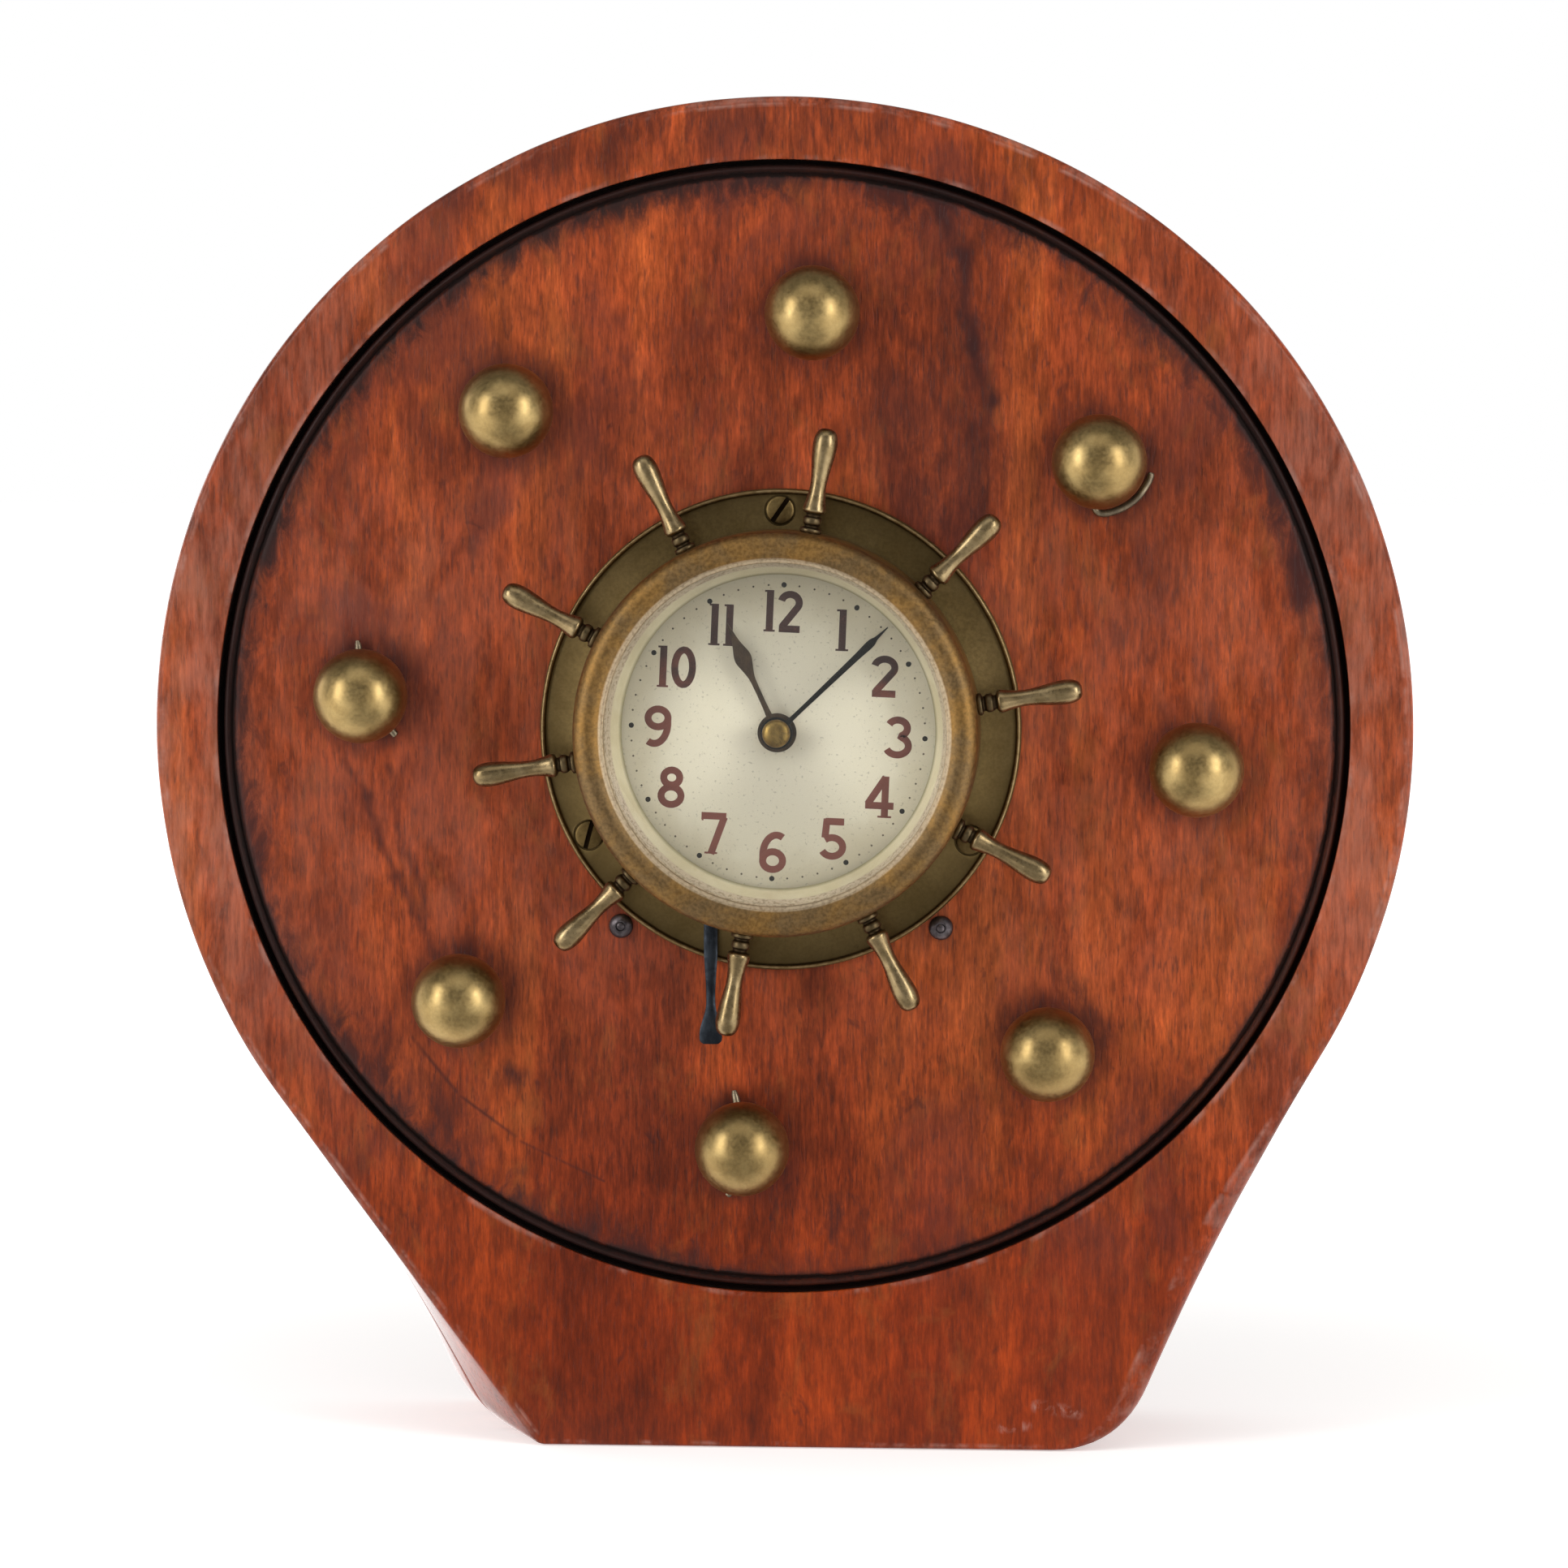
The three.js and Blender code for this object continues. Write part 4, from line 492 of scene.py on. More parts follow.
# The ink has faded most at the foot of the dial
def inkFinish(name, dark, faded):
    ink = Finish(name)
    cloud = ink.noise(160, 4, 0.65, 0.3)
    speck = ink.noise(2500, 2, 0.6)
    lower = ink.band(ink.facePlace()[1], -12.0, 28.0, 0.35, -0.25)
    base = ink.mix(ink.band(ink.plus(cloud, lower), 0.35, 0.75), dark, faded)
    base = ink.mix(ink.band(speck, 0.60, 0.72, 0.0, 0.5), base, faded)
    ink.surface(base=base, rough=ink.band(cloud, 0.3, 0.7, 0.5, 0.7), specular=0.3)
    ink.bump(speck, 0.2, 0.01)
    return ink.material


def creamFinish():
    cream = Finish("agedCreamLacquer")
    _, _, radius, height = cream.facePlace()
    cloud = cream.noise(130, 5, 0.65, 0.4)
    base = cream.mix(cream.band(cloud, 0.35, 0.65), "d2c6a6", "ded4bb")
    # painted shade: the cream darkens towards its outer edge under the rim's lip, and in a thin line at its
    # inner edge beside the dial
    base = cream.mix(cream.band(radius, 32.8, 34.4, 0.0, 0.7), base, "8f7c4c")
    base = cream.mix(cream.band(radius, 31.2, 31.75, 0.75, 0.0), base, "6d6644")
    # the steep wall above the cream is bare and greyer
    bare = cream.mix(cream.band(cream.noise(1500, 3, 0.6), 0.45, 0.65), "cbb9a6", "9c8873")
    base = cream.mix(cream.band(height, 12.9, 13.5, 0.0, 0.9), base, bare)
    cream.surface(base=base, rough=cream.band(cloud, 0.3, 0.7, 0.28, 0.42), metal=0.25)
    cream.bump(cloud, 0.1, 0.05)
    return cream.material


# Lamp rays pass the glass, so that the dial behind it is lit
def glassFinish():
    clear = Finish("clockGlass")
    rough = clear.band(clear.noise(60, 4, 0.6, 0.6), 0.5, 0.8, 0.0, 0.01)
    clear.surface(base="f8f8f4", rough=rough, clear=1.0, ior=1.45, specular=0.35)
    through = clear.add("BsdfTransparent", {0: "f6f7f2"})
    shadow = clear.add("LightPath").outputs["Is Shadow Ray"]
    clear.shows(clear.add("MixShader", {
        0: shadow, 1: clear.shader.outputs[0], 2: through.outputs[0],
    }))
    return clear.material


# Brass: bright, dull and tarnished colours, roughness, size and range of the stains, and then dust with
# painted shade on upper sides, scratches, graininess and turning marks
finishes = {
    "frontWood": woodFinish("frontBoardMahogany", (0.0, 0.0, 0.0), True),
    "middleWood": woodFinish("middleBoardMahogany", (3.1, 1.7, 0.9), False),
    "rearWood": woodFinish("rearBoardMahogany", (7.4, 4.2, 2.3), False),
    "ball": brassFinish("ballBrass", "a68e5e", "957d50", "5c4c31", 0.35, 150, (0.66, 0.84), 0.3, 0.14, 0.1),
    "flange": brassFinish("bronzedFlange", "776440", "695735", "473b26", 0.40, 60, (0.60, 0.80), 0.1, 0.2,
                          0.12, 0.7),
    "lip": brassFinish("rubbedLip", "96805c", "7d6745", "544226", 0.38, 200, (0.54, 0.70)),
    "rim": brassFinish("wornRimBrass", "8e6c3d", "776041", "57452c", 0.52, 90, (0.56, 0.78), 0.1, 0.7, 0.24),
    "handle": brassFinish("turnedHandleBrass", "9a8663", "83704f", "33281b", 0.31, 260, (0.62, 0.80), 0.2,
                          0.04, 0.08),
    "cap": brassFinish("handCapBrass", "977c46", "7f6636", "4d3d20", 0.36, 320, (0.5, 0.7)),
    "case": brassFinish("caseBrass", "80683c", "6b5530", "43351f", 0.40, 80, (0.48, 0.68)),
    "train": brassFinish("trainBrass", "c09c56", "ab8746", "7a5f33", 0.30, 300, (0.6, 0.78)),
    "screw": brassFinish("screwBrass", "776440", "665433", "2b2116", 0.46, 420, (0.58, 0.76)),
    "steel": steelFinish("movementSteel", "a9a9ab", "85868a", 0.28),
    "blackSteel": steelFinish("blackenedSteel", "6f686a", "484345", 0.42),
    "pinSteel": steelFinish("pinSteel", "958770", "6b6050", 0.4),
    "blueSteel": steelFinish("bluedSteel", "363b41", "25282d", 0.42),
    "minuteBlack": steelFinish("blackHandPaint", "0c0b0b", "131211", 0.5, 0.0, 0.12),
    "hourBrown": steelFinish("brownedHandPaint", "46372a", "30251b", 0.5, 0.0, 0.15),
    "dial": dialFinish(),
    "figure": inkFinish("figureInk", "3a2321", "74423a"),
    "dot": inkFinish("dotInk", "120f0d", "241f1b"),
    "minuteDot": inkFinish("minuteDotInk", "4a4138", "6a6052"),
    "cream": creamFinish(),
    "glass": glassFinish(),
}
print("finishes", len(finishes))


# Rings of points are joined side by side; a ring of one point closes an end
def skin(bm, rings, loop=False):
    made = [[bm.verts.new(point) for point in ring] for ring in rings]
    pairs = list(zip(made, made[1:]))
    if loop:
        pairs.append((made[-1], made[0]))
    for a, b in pairs:
        count = max(len(a), len(b))
        for i in range(count):
            j = (i + 1) % count
            if len(a) == 1:
                bm.faces.new((a[0], b[i], b[j]))
            elif len(b) == 1:
                bm.faces.new((a[i], b[0], a[j]))
            else:
                bm.faces.new((a[i], b[i], b[j], a[j]))
    return made


def skinWithEnds(bm, rings):
    made = skin(bm, rings)
    bm.faces.new(made[0])
    bm.faces.new(made[-1])


# Rounds the corners of a turned outline; a third number is the corner's size
def soften(points, steps=4):
    soft = []
    for i, point in enumerate(points):
        here = Vector(point[:2])
        if len(point) < 3:
            soft.append((here.x, here.y))
            continue
        before = Vector(points[i - 1][:2])
        after = Vector(points[(i + 1) % len(points)][:2])
        start = here + (before - here).normalized() * point[2]
        end = here + (after - here).normalized() * point[2]
        for k in range(steps + 1):
            t = k / steps
            bend = start * (1 - t) ** 2 + here * 2 * t * (1 - t) + end * t * t
            soft.append((bend.x, bend.y))
    return soft


# A smooth line through all the points
def throughPoints(points, steps):
    line = []
    for i in range(len(points) - 1):
        p = [Vector(points[min(max(i + k, 0), len(points) - 1)]) for k in (-1, 0, 1, 2)]
        for step in range(steps):
            t = step / steps
            line.append(0.5 * (2 * p[1] + (p[2] - p[0]) * t + (2 * p[0] - 5 * p[1] + 4 * p[2] - p[3]) * t * t
                               + (3 * p[1] - p[0] - 3 * p[2] + p[3]) * t ** 3))
    line.append(Vector(points[-1]))
    return [tuple(point) for point in line]


def turnedRings(profile, segments, centre=(0, 0)):
    rings = []
    for radius, height in profile:
        count = segments if radius > 1e-6 else 1
        ring = []
        for i in range(count):
            x, y = clockPlace(radius, 360 * i / count)
            ring.append(spot(centre[0] + x, centre[1] + y, height))
        rings.append(ring)
    return rings


# Meshes carry a value for grime and painted shade in grooves, hollows and slots, and an edge value for rubbed
# arrises and the wood's painted highlight line
def freshMesh():
    bm = bmesh.new()
    for name in ("grimeAndShade", "edge"):
        bm.verts.layers.float.new(name)
    return bm


def mark(bm, name, rings, values):
    layer = bm.verts.layers.float[name]
    for ring, value in zip(rings, values):
        for vert in ring:
            vert[layer] = value


# Faces are smooth and edges sharper than the limit stay crisp
def crisp(mesh, limit):
    bm = bmesh.new()
    bm.from_mesh(mesh)
    for face in bm.faces:
        face.smooth = True
    for edge in bm.edges:
        edge.smooth = len(edge.link_faces) == 2 and edge.calc_face_angle(0) < radians(limit)
    bm.to_mesh(mesh)
    bm.free()


def drill(obj, cutter):
    tool = bpy.data.objects.new("cutter", bpy.data.meshes.new("cutter"))
    bmesh.ops.recalc_face_normals(cutter, faces=cutter.faces)
    cutter.to_mesh(tool.data)
    cutter.free()
    scene.collection.objects.link(tool)
    cut = obj.modifiers.new("holes", "BOOLEAN")
    cut.operation = "DIFFERENCE"
    cut.solver = "EXACT"
    cut.object = tool
    graph = bpy.context.evaluated_depsgraph_get()
    drilled = bpy.data.meshes.new_from_object(obj.evaluated_get(graph))
    obj.modifiers.clear()
    obj.data = drilled
    bpy.data.objects.remove(tool)


def makePiece(name, bm, finish, body, stands=(), cutter=None, limit=38):
    bmesh.ops.recalc_face_normals(bm, faces=bm.faces)
    mesh = bpy.data.meshes.new(name)
    bm.to_mesh(mesh)
    bm.free()
    piece = bpy.data.objects.new(name, mesh)
    scene.collection.objects.link(piece)
    if cutter is not None:
        drill(piece, cutter)
    crisp(piece.data, limit)
    piece.data.materials.clear()
    piece.data.materials.append(finishes[finish])
    if stands:
        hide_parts(*stands)
    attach(piece, body)
    return piece


def turnedPiece(name, profile, segments, finish, body, stands=(), loop=False, cutter=None, grimeAndShade=()):
    bm = freshMesh()
    rings = skin(bm, turnedRings(profile, segments), loop)
    mark(bm, "grimeAndShade", rings, grimeAndShade)
    return makePiece(name, bm, finish, body, stands, cutter)


# One side of the hub: tangent and straight at 0, hollow with a spread foot at 1
def flank(hollow):
    foot = blend(hub["straightFoot"], hub["hollowFoot"], hollow)
    corner = blend(hub["straightCorner"], hub["hollowCorner"], hollow)
    reach = hypot(hub["straightFoot"], axisHeight)
    tangent = atan2(axisHeight, hub["straightFoot"]) - acos(hub["radius"] / reach)
    start = blend(tangent, radians(hub["hollowStart"]), hollow)
    leave = Vector((hub["radius"] * cos(start), -hub["radius"] * sin(start)))
    fall = (leave.y + axisHeight) * (1 - hub["kneeShare"]) / cos(start)
    knee = leave - fall * Vector((sin(start), cos(start)))
    toe = Vector((foot, -axisHeight))
    rise = toe + (knee - toe).normalized() * corner
    inward = Vector((foot - corner, -axisHeight))

    def curve(a, b, c, steps):
        shares = [k / steps for k in range(steps + 1)]
        return [a * (1 - t) ** 2 + b * 2 * t * (1 - t) + c * t * t for t in shares]

    side = curve(leave, knee, rise, hub["sideSteps"])
    return start, side + curve(rise, toe, inward, hub["cornerSteps"])[1:]


# The hub's outline anticlockwise from the foot's right corner; the flanks change over from front to rear
def hubOutline(depth):
    share = min(1.0, max(0.0, depth / (hub["board"] * hub["boards"])))
    rightStart, right = flank(1 - share ** 2)
    leftStart, left = flank(1 - (1 - share) ** 2)
    points = list(reversed(right))
    for i in range(1, hub["arcSteps"]):
        angle = blend(-rightStart, pi + leftStart, i / hub["arcSteps"])
        points.append(Vector((cos(angle), sin(angle))) * hub["radius"])
    points += [Vector((-p.x, p.y)) for p in left]
    first, last = points[-1], points[0]
    for i in range(1, hub["baseSteps"]):
        points.append(first.lerp(last, i / hub["baseSteps"]))
    return points


def insetOutline(points, amounts):
    moved = []
    for i, point in enumerate(points):
        along = (points[(i + 1) % len(points)] - points[i - 1]).normalized()
        moved.append(point + Vector((-along.y, along.x)) * amounts[i])
    return moved


# Edge rounding for each column of the outline: eased low on the right, small along the foot
def frontArris():
    corner, side, even = hub["cornerSteps"], hub["sideSteps"], hub["easedShare"]
    plain, eased, foot = hub["arris"], hub["easedArris"], hub["footArris"]
    sizes = [blend(foot, eased, ease(i / corner)) for i in range(corner)]
    sizes += [blend(eased, plain, ease((i / side - even) / (1 - even))) for i in range(side + 1)]
    sizes += [plain] * (hub["arcSteps"] - 1)
    sizes += [blend(plain, hub["leftFootArris"], ease(i / side)) for i in range(side + 1)]
    return sizes + [foot] * (corner + hub["baseSteps"] - 1)


# How far the worn outline stands inside the true one; the base stays flat
def wornBy(point, depth):
    if point.y < 0.5 - axisHeight:
        return 0.0
    flat, deep = hub["wearScale"]
    wander = noise.noise(Vector((point.x * flat, point.y * flat, depth * deep)))
    return hub["wear"] * (1.0 + wander)


def nick(point, depth):
    flat, deep = hub["nickScale"]
    bite = noise.noise(Vector((point.x * flat + hub["nickShift"], point.y * flat, depth * deep)))
    return max(0.0, bite - hub["nickLimit"]) * hub["nickDepth"]


# The outline at one depth; only the middle of a wide arris is nicked
def level(depth, insets, arris):
    points = hubOutline(depth)
    amounts = []
    for point, inset, size in zip(points, insets, arris):
        bitten = size > 1.2 and 0.2 * size < inset < 0.9 * size
        amounts.append(inset + wornBy(point, depth) + (nick(point, depth) if bitten else 0.0))
    return [spot(p.x, p.y, hub["recess"] - depth) for p in insetOutline(points, amounts)]


def hubBoard(name, number, finish):
    first, last = number == 0, number == hub["boards"] - 1
    top = number * hub["board"]
    bottom = top + hub["board"]
    frontU, backU = hub["recess"] - top, hub["recess"] - bottom
    directions = [p.normalized() for p in hubOutline(top)]
    count = len(directions)
    none = [0.0] * count
    glue = [hub["glueLine"]] * count
    front = frontArris() if first else glue
    back = [hub["arris"]] * count if last else glue
    rings, edges = [], []

    def circle(radius, u, edge=0.0):
        rings.append([spot(d.x * radius, d.y * radius, u) for d in directions])
        edges.append(edge)

    # columns may sit at different depths, between the shallowest and the deepest level
    def outer(depths, insets, arris, edge):
        shallow, deep = min(depths), max(depths)
        ring = level(shallow, insets, arris)
        if deep - shallow > 1e-6:
            shares = [(depth - shallow) / (deep - shallow) for depth in depths]
            ring = [a.lerp(b, share) for a, b, share in zip(ring, level(deep, insets, arris), shares)]
        rings.append(ring)
        edges.append(edge)

    circle(hub["bore"], backU)
    if first:
        face = [(hub["bore"], -3), (hub["bore"], 0, hub["boreEdge"])] + [(r, 0) for r in hub["faceRings"]]
        # the crest outside the groove is rubbed
        for radius, u in soften(face, 3)[1:] + hub["groove"]:
            circle(radius, u, 0.7 if u > 0.6 and radius < 115 else 0.0)
        outer([top] * count, [b + 0.7 for b in front], front, 0.0)
    else:
        circle(hub["bore"], frontU)
    steps = hub["arrisSteps"] if first else 1
    for k in range(steps + 1):
        angle = pi / 2 * k / steps
        insets = [b * (1 - sin(angle)) for b in front]
        depths = [top + b * (1 - cos(angle)) for b in front]
        # the front arris's first ring is painted pale as a highlight line along the edge; elsewhere the arris
        # is rubbed
        rubbed = max(0.9 if k == 0 else 0.0, 0.6 * sin(2 * angle))
        outer(depths, insets, front, rubbed if first else 0.0)
    for k in range(1, hub["wallSteps"]):
        depths = [blend(top + a, bottom - b, k / hub["wallSteps"]) for a, b in zip(front, back)]
        outer(depths, none, none, 0.0)
    steps = hub["arrisSteps"] if last else 1
    for k in range(steps + 1):
        angle = pi / 2 * k / steps
        insets = [b * (1 - cos(angle)) for b in back]
        depths = [bottom - b * (1 - sin(angle)) for b in back]
        outer(depths, insets, back, sin(2 * angle) if last else 0.0)
    bm = freshMesh()
    mark(bm, "edge", skin(bm, rings, True), edges)
    holes = bmesh.new()
    past, hole = 2.0, hub["boltHole"]
    bolt = [(0, backU - past), (hole, backU - past), (hole, frontU + past), (0, frontU + past)]
    for ball in range(1, ballKnob["count"] + 1):
        skin(holes, turnedRings(bolt, 40, ballPlace(ball)))
    makePiece(name, bm, finish, "stand", [name.replace("_wood", "")], holes, 50)


hubBoard("front_board_wood", 0, "frontWood")
hubBoard("middle_board_wood", 1, "middleWood")
hubBoard("rear_board_wood", 2, "rearWood")
print("hub boards")


# Ball knobs on necks, each with a turner's centre mark and small dents
def makeBall(number):
    size = ballKnob
    centre = ballPlace(number)
    radius, darkened = size["radius"], size["darkenedShare"]
    profile = list(size["stem"])
    below = len(profile)
    # grime and painted shade on the stem and where the ball meets the neck
    grimeAndShade = [0.9] * (below - 1) + [0.8]
    meet = asin(size["neck"] / radius)
    last = pi - asin(size["centreMark"] / radius)
    for k in range(size["rings"] + 1):
        share = k / size["rings"]
        angle = blend(meet, last, share)
        profile.append((radius * sin(angle), size["standoff"] - radius * cos(angle)))
        grimeAndShade.append(0.7 * ease((darkened - share) / darkened))
    tip = profile[-1][1]
    profile += [(size["centreMark"] * 0.55, tip - 0.03), (0, tip - 0.05)]
    grimeAndShade += [0.0, 0.05]
    bm = freshMesh()
    rings = skin(bm, turnedRings(profile, size["segments"], centre))
    mark(bm, "grimeAndShade", rings, grimeAndShade)
    middle = spot(*centre, size["standoff"])
    for ring in rings[below:-2]:
        for vert in ring:
            out = (vert.co - middle).normalized()
            sway = noise.noise(vert.co * 260 + Vector((number * 3.7, 0, 0)))
            pit = max(0.0, noise.noise(vert.co * 900 + Vector((number * 5.1, 2, 0))) - 0.5)
            vert.co -= out * (size["dent"] * (0.5 + 0.5 * sway) + pit * size["pit"]) * mm
    makePiece(f"ball_{number}", bm, "ball", "stand", [f"ball_knob_{number}"])


for number in range(1, ballKnob["count"] + 1):
    makeBall(number)
print("balls", ballKnob["count"])

# Split pins through three of the necks; points are right, up and out from the ball's own centre
splitPin = {
    "radii": (0.45, 0.675, 0.75),    # at an end, next to it and between
    "sides": 10,
    "routes": {
        2: [(1.0, 3.0, 1.6), (-0.6, -4.0, 1.5), (-1.2, -9.0, 1.1), (0.2, -10.6, 0.9), (3.8, -9.8, 0.9),
            (7.2, -7.6, 0.9), (9.5, -4.4, 0.9), (10.2, -2.4, 0.9)],
        5: [(-2.4, 10.6, 1.4), (-1.4, 5.5, 1.7), (-1.4, -5.0, 1.7), (-3.0, -9.6, 1.4), (-3.8, -10.9, 1.2)],
        7: [(-1.9, 10.6, 1.4), (-0.8, 5.0, 1.7), (2.4, -4.0, 1.7), (5.0, -7.6, 1.4), (5.9, -8.6, 1.2)],
    },
}


def tubeRings(path, radii, sides):
    angles = [tau * k / sides for k in range(sides)]
    last = len(path) - 1
    rings = []
    for i, point in enumerate(path):
        along = (path[min(i + 1, last)] - path[max(i - 1, 0)]).normalized()
        side = along.cross(Vector((0, 1, 0))).normalized()
        up = side.cross(along)
        radius = radii[min(i, last - i, 2)] * mm
        rings.append([point + (side * cos(angle) + up * sin(angle)) * radius for angle in angles])
    return [[path[0]]] + rings + [[path[-1]]]


for number, route in splitPin["routes"].items():
    centre = ballPlace(number)
    path = [spot(centre[0] + x, centre[1] + y, u) for x, y, u in throughPoints(route, 5)]
    bm = freshMesh()
    skin(bm, tubeRings(path, splitPin["radii"], splitPin["sides"]))
    makePiece(f"split_pin_{number}", bm, "pinSteel", "stand")
print("split pins", len(splitPin["routes"]))

# Mounting flange: a coned ring with a rubbed lip, three screws and two rest pins below
flange = {
    "segments": 240,
    # radius, height and corner
    "ring": [(36.3, 0.1), (48.5, 0.1), (48.5, 2.05, 0.3), (48.15, 2.4, 0.25), (47.65, 2.25, 0.2),
             (47.4, 1.6, 0.25), (42.0, 2.48), (36.8, 3.25, 0.3), (36.3, 3.0)],
    "lip": [(47.65, 2.28, 0.05), (48.38, 1.98, 0.05), (48.22, 2.38, 0.2), (47.8, 2.43, 0.2)],
    "grimeAndShade": 0.35,
    "darkened": (46.9, 47.6, 2.1),     # darkened with grime and painted shade between these radii and below this height, under the lip
    "screwCircle": 44.2,
    "screws": [(0, 35), (120, 110), (241, 15)],      # turn on the dial, and of the slot
    "screw": [(0, -12.0), (1.5, -9.0), (1.5, 1.19), (2.9, 1.19), (2.9, 2.19, 0.25), (2.697, 2.39)],
    "headRadius": 2.9,
    "headTop": 2.69,
    "crown": 0.34,           # how far the domed head falls to its edge
    "slot": 0.95,
    "slotDepth": 1.0,
    "sinkRadius": 3.2,
    "sink": (1.09, 6.0),     # from the floor of a sunk hole to well above the ring
}


def makeFlange():
    size = flange
    ring = soften(size["ring"], 3)
    low, high, under = size["darkened"]
    grimeAndShade = [size["grimeAndShade"] if low < radius < high and height < under else 0.0 for radius, height in ring]
    sinks = bmesh.new()
    wide = size["sinkRadius"]
    bottom, top = size["sink"]
    for turn, _ in size["screws"]:
        centre = clockPlace(size["screwCircle"], turn)
        skin(sinks, turnedRings([(0, bottom), (wide, bottom), (wide, top), (0, top)], 40, centre))
    turnedPiece("bronzed_flange", ring, size["segments"], "flange", "stand",
                ["mount_flange"], True, sinks, grimeAndShade)
    lip = soften(size["lip"], 3)
    turnedPiece("flange_lip", lip, size["segments"], "lip", "stand", loop=True)


def slotCutter(centre, turn, width, length, bottom, top):
    along = Vector(clockPlace(1, turn))
    across = Vector((along.y, -along.x))
    corners = [Vector(centre) + along * a * length + across * b * width / 2
               for a, b in ((-1, -1), (1, -1), (1, 1), (-1, 1))]
    bm = bmesh.new()
    skinWithEnds(bm, [[spot(p.x, p.y, u) for p in corners] for u in (bottom, top)])
    return bm


def makeScrew(number, turn, slot):
    size = flange
    centre = clockPlace(size["screwCircle"], turn)
    top, head = size["headTop"], size["headRadius"]
    profile = soften(size["screw"], 4)
    profile += [(head * k, top - size["crown"] * k * k) for k in (0.8, 0.65, 0.5, 0.35, 0.2, 0)]
    bm = freshMesh()
    skin(bm, turnedRings(profile, 40, centre))
    slotted = slotCutter(centre, slot, size["slot"], head * 1.4, top - size["slotDepth"], top + 1)
    screw = makePiece(f"slotted_screw_{number}", bm, "screw", "stand",
                      [f"flange_screw_{number}"], slotted)
    # dirt and painted shade darken the slot's floor
    slotFloor = spot(0, 0, top - size["slotDepth"]).y
    for vert, value in zip(screw.data.vertices, screw.data.attributes["grimeAndShade"].data):
        if abs(vert.co.y - slotFloor) < 1e-5:
            value.value = 1.0


restPin = {
    "circle": 51.4,
    "turns": [141, 219],
    "bottom": -10.0,
    "top": 2.2,
    "profile": [(1.1, -7.8), (1.1, 0.1), (2.45, 0.1, 0.1), (2.5, 0.8, 0.4), (2.0, 1.6, 0.5),
                (0.875, 2.1, 0.4)],
    "dent": 0.12,
    "dentedRings": 14,
}


def makeRestPin(number, turn):
    size = restPin
    profile = [(0, size["bottom"])] + soften(size["profile"], 4) + [(0, size["top"])]
    bm = freshMesh()
    rings = skin(bm, turnedRings(profile, 32, clockPlace(size["circle"], turn)))
    for ring in rings[-size["dentedRings"]:]:
        for vert in ring:
            sway = noise.noise(vert.co * 700 + Vector((number, 0, 0)))
            vert.co.y += abs(sway) * size["dent"] * mm
    makePiece(f"rest_nail_{number}", bm, "blackSteel", "stand", [f"rest_pin_{number}"])


makeFlange()
for number, (turn, slot) in enumerate(flange["screws"], 1):
    makeScrew(number, turn, slot)
for number, turn in enumerate(restPin["turns"], 1):
    makeRestPin(number, turn)
print("flange, screws and rest pins")

# Case tube and the pressed back cover seen down the bore from behind: radius, height and corner
caseBody = {
    "segments": 160,
    "tube": [(34.8, -34.0), (36.0, -34.0, 0.25), (36.0, 3.4, 0.25), (34.8, 3.4), (34.8, 0.8), (33.2, 0.8),
             (33.2, -1.8), (34.8, -1.8)],
    "coverBack": -35.0,
    "coverFront": -31.9,
    "cover": [(6.0, -35.0, 0.4), (6.6, -35.2, 0.3), (24.0, -35.2, 0.4), (24.6, -34.95, 0.3),
              (27.4, -34.95, 0.3), (28.0, -35.2, 0.4), (35.9, -35.2, 0.35), (36.0, -34.1, 0.2),
              (34.5, -34.1), (34.5, -31.9, 0.4)],
}
turnedPiece("case_tube", soften(caseBody["tube"], 3), caseBody["segments"], "case", "stand",
            ["clock_case"], True)
cover = [(0, caseBody["coverBack"])] + soften(caseBody["cover"], 3) + [(0, caseBody["coverFront"])]
turnedPiece("pressed_back_cover", cover, caseBody["segments"], "case", "stand",
            ["case_back_cover"])
print("case")

# Winding rim: a rolled band on a tube, toothed inside at the rear
rim = {
    "outer": 40.5,
    "inner": 39.1,
    "rear": 4.7,
    "gearTop": 6.2,
    "toothTip": 37.02,
    "teeth": 48,
    "perTooth": 8,
    "shoulder": 9.0,
    "seat": 35.15,
    "glassFront": 17.9,
    "opening": 34.2,
    "side": 12.0,            # one more ring halfway up the outside
    "roll": [(40.5, 16.6), (40.45, 17.4), (40.2, 18.3), (39.55, 19.2), (38.6, 19.78), (37.4, 20.0),
             (36.2, 19.8), (35.35, 19.4)],
    "lip": [(35.05, 19.25, 0.1), (34.85, 18.95, 0.12), (34.35, 18.9, 0.1), (34.2, 18.6, 0.12)],
}


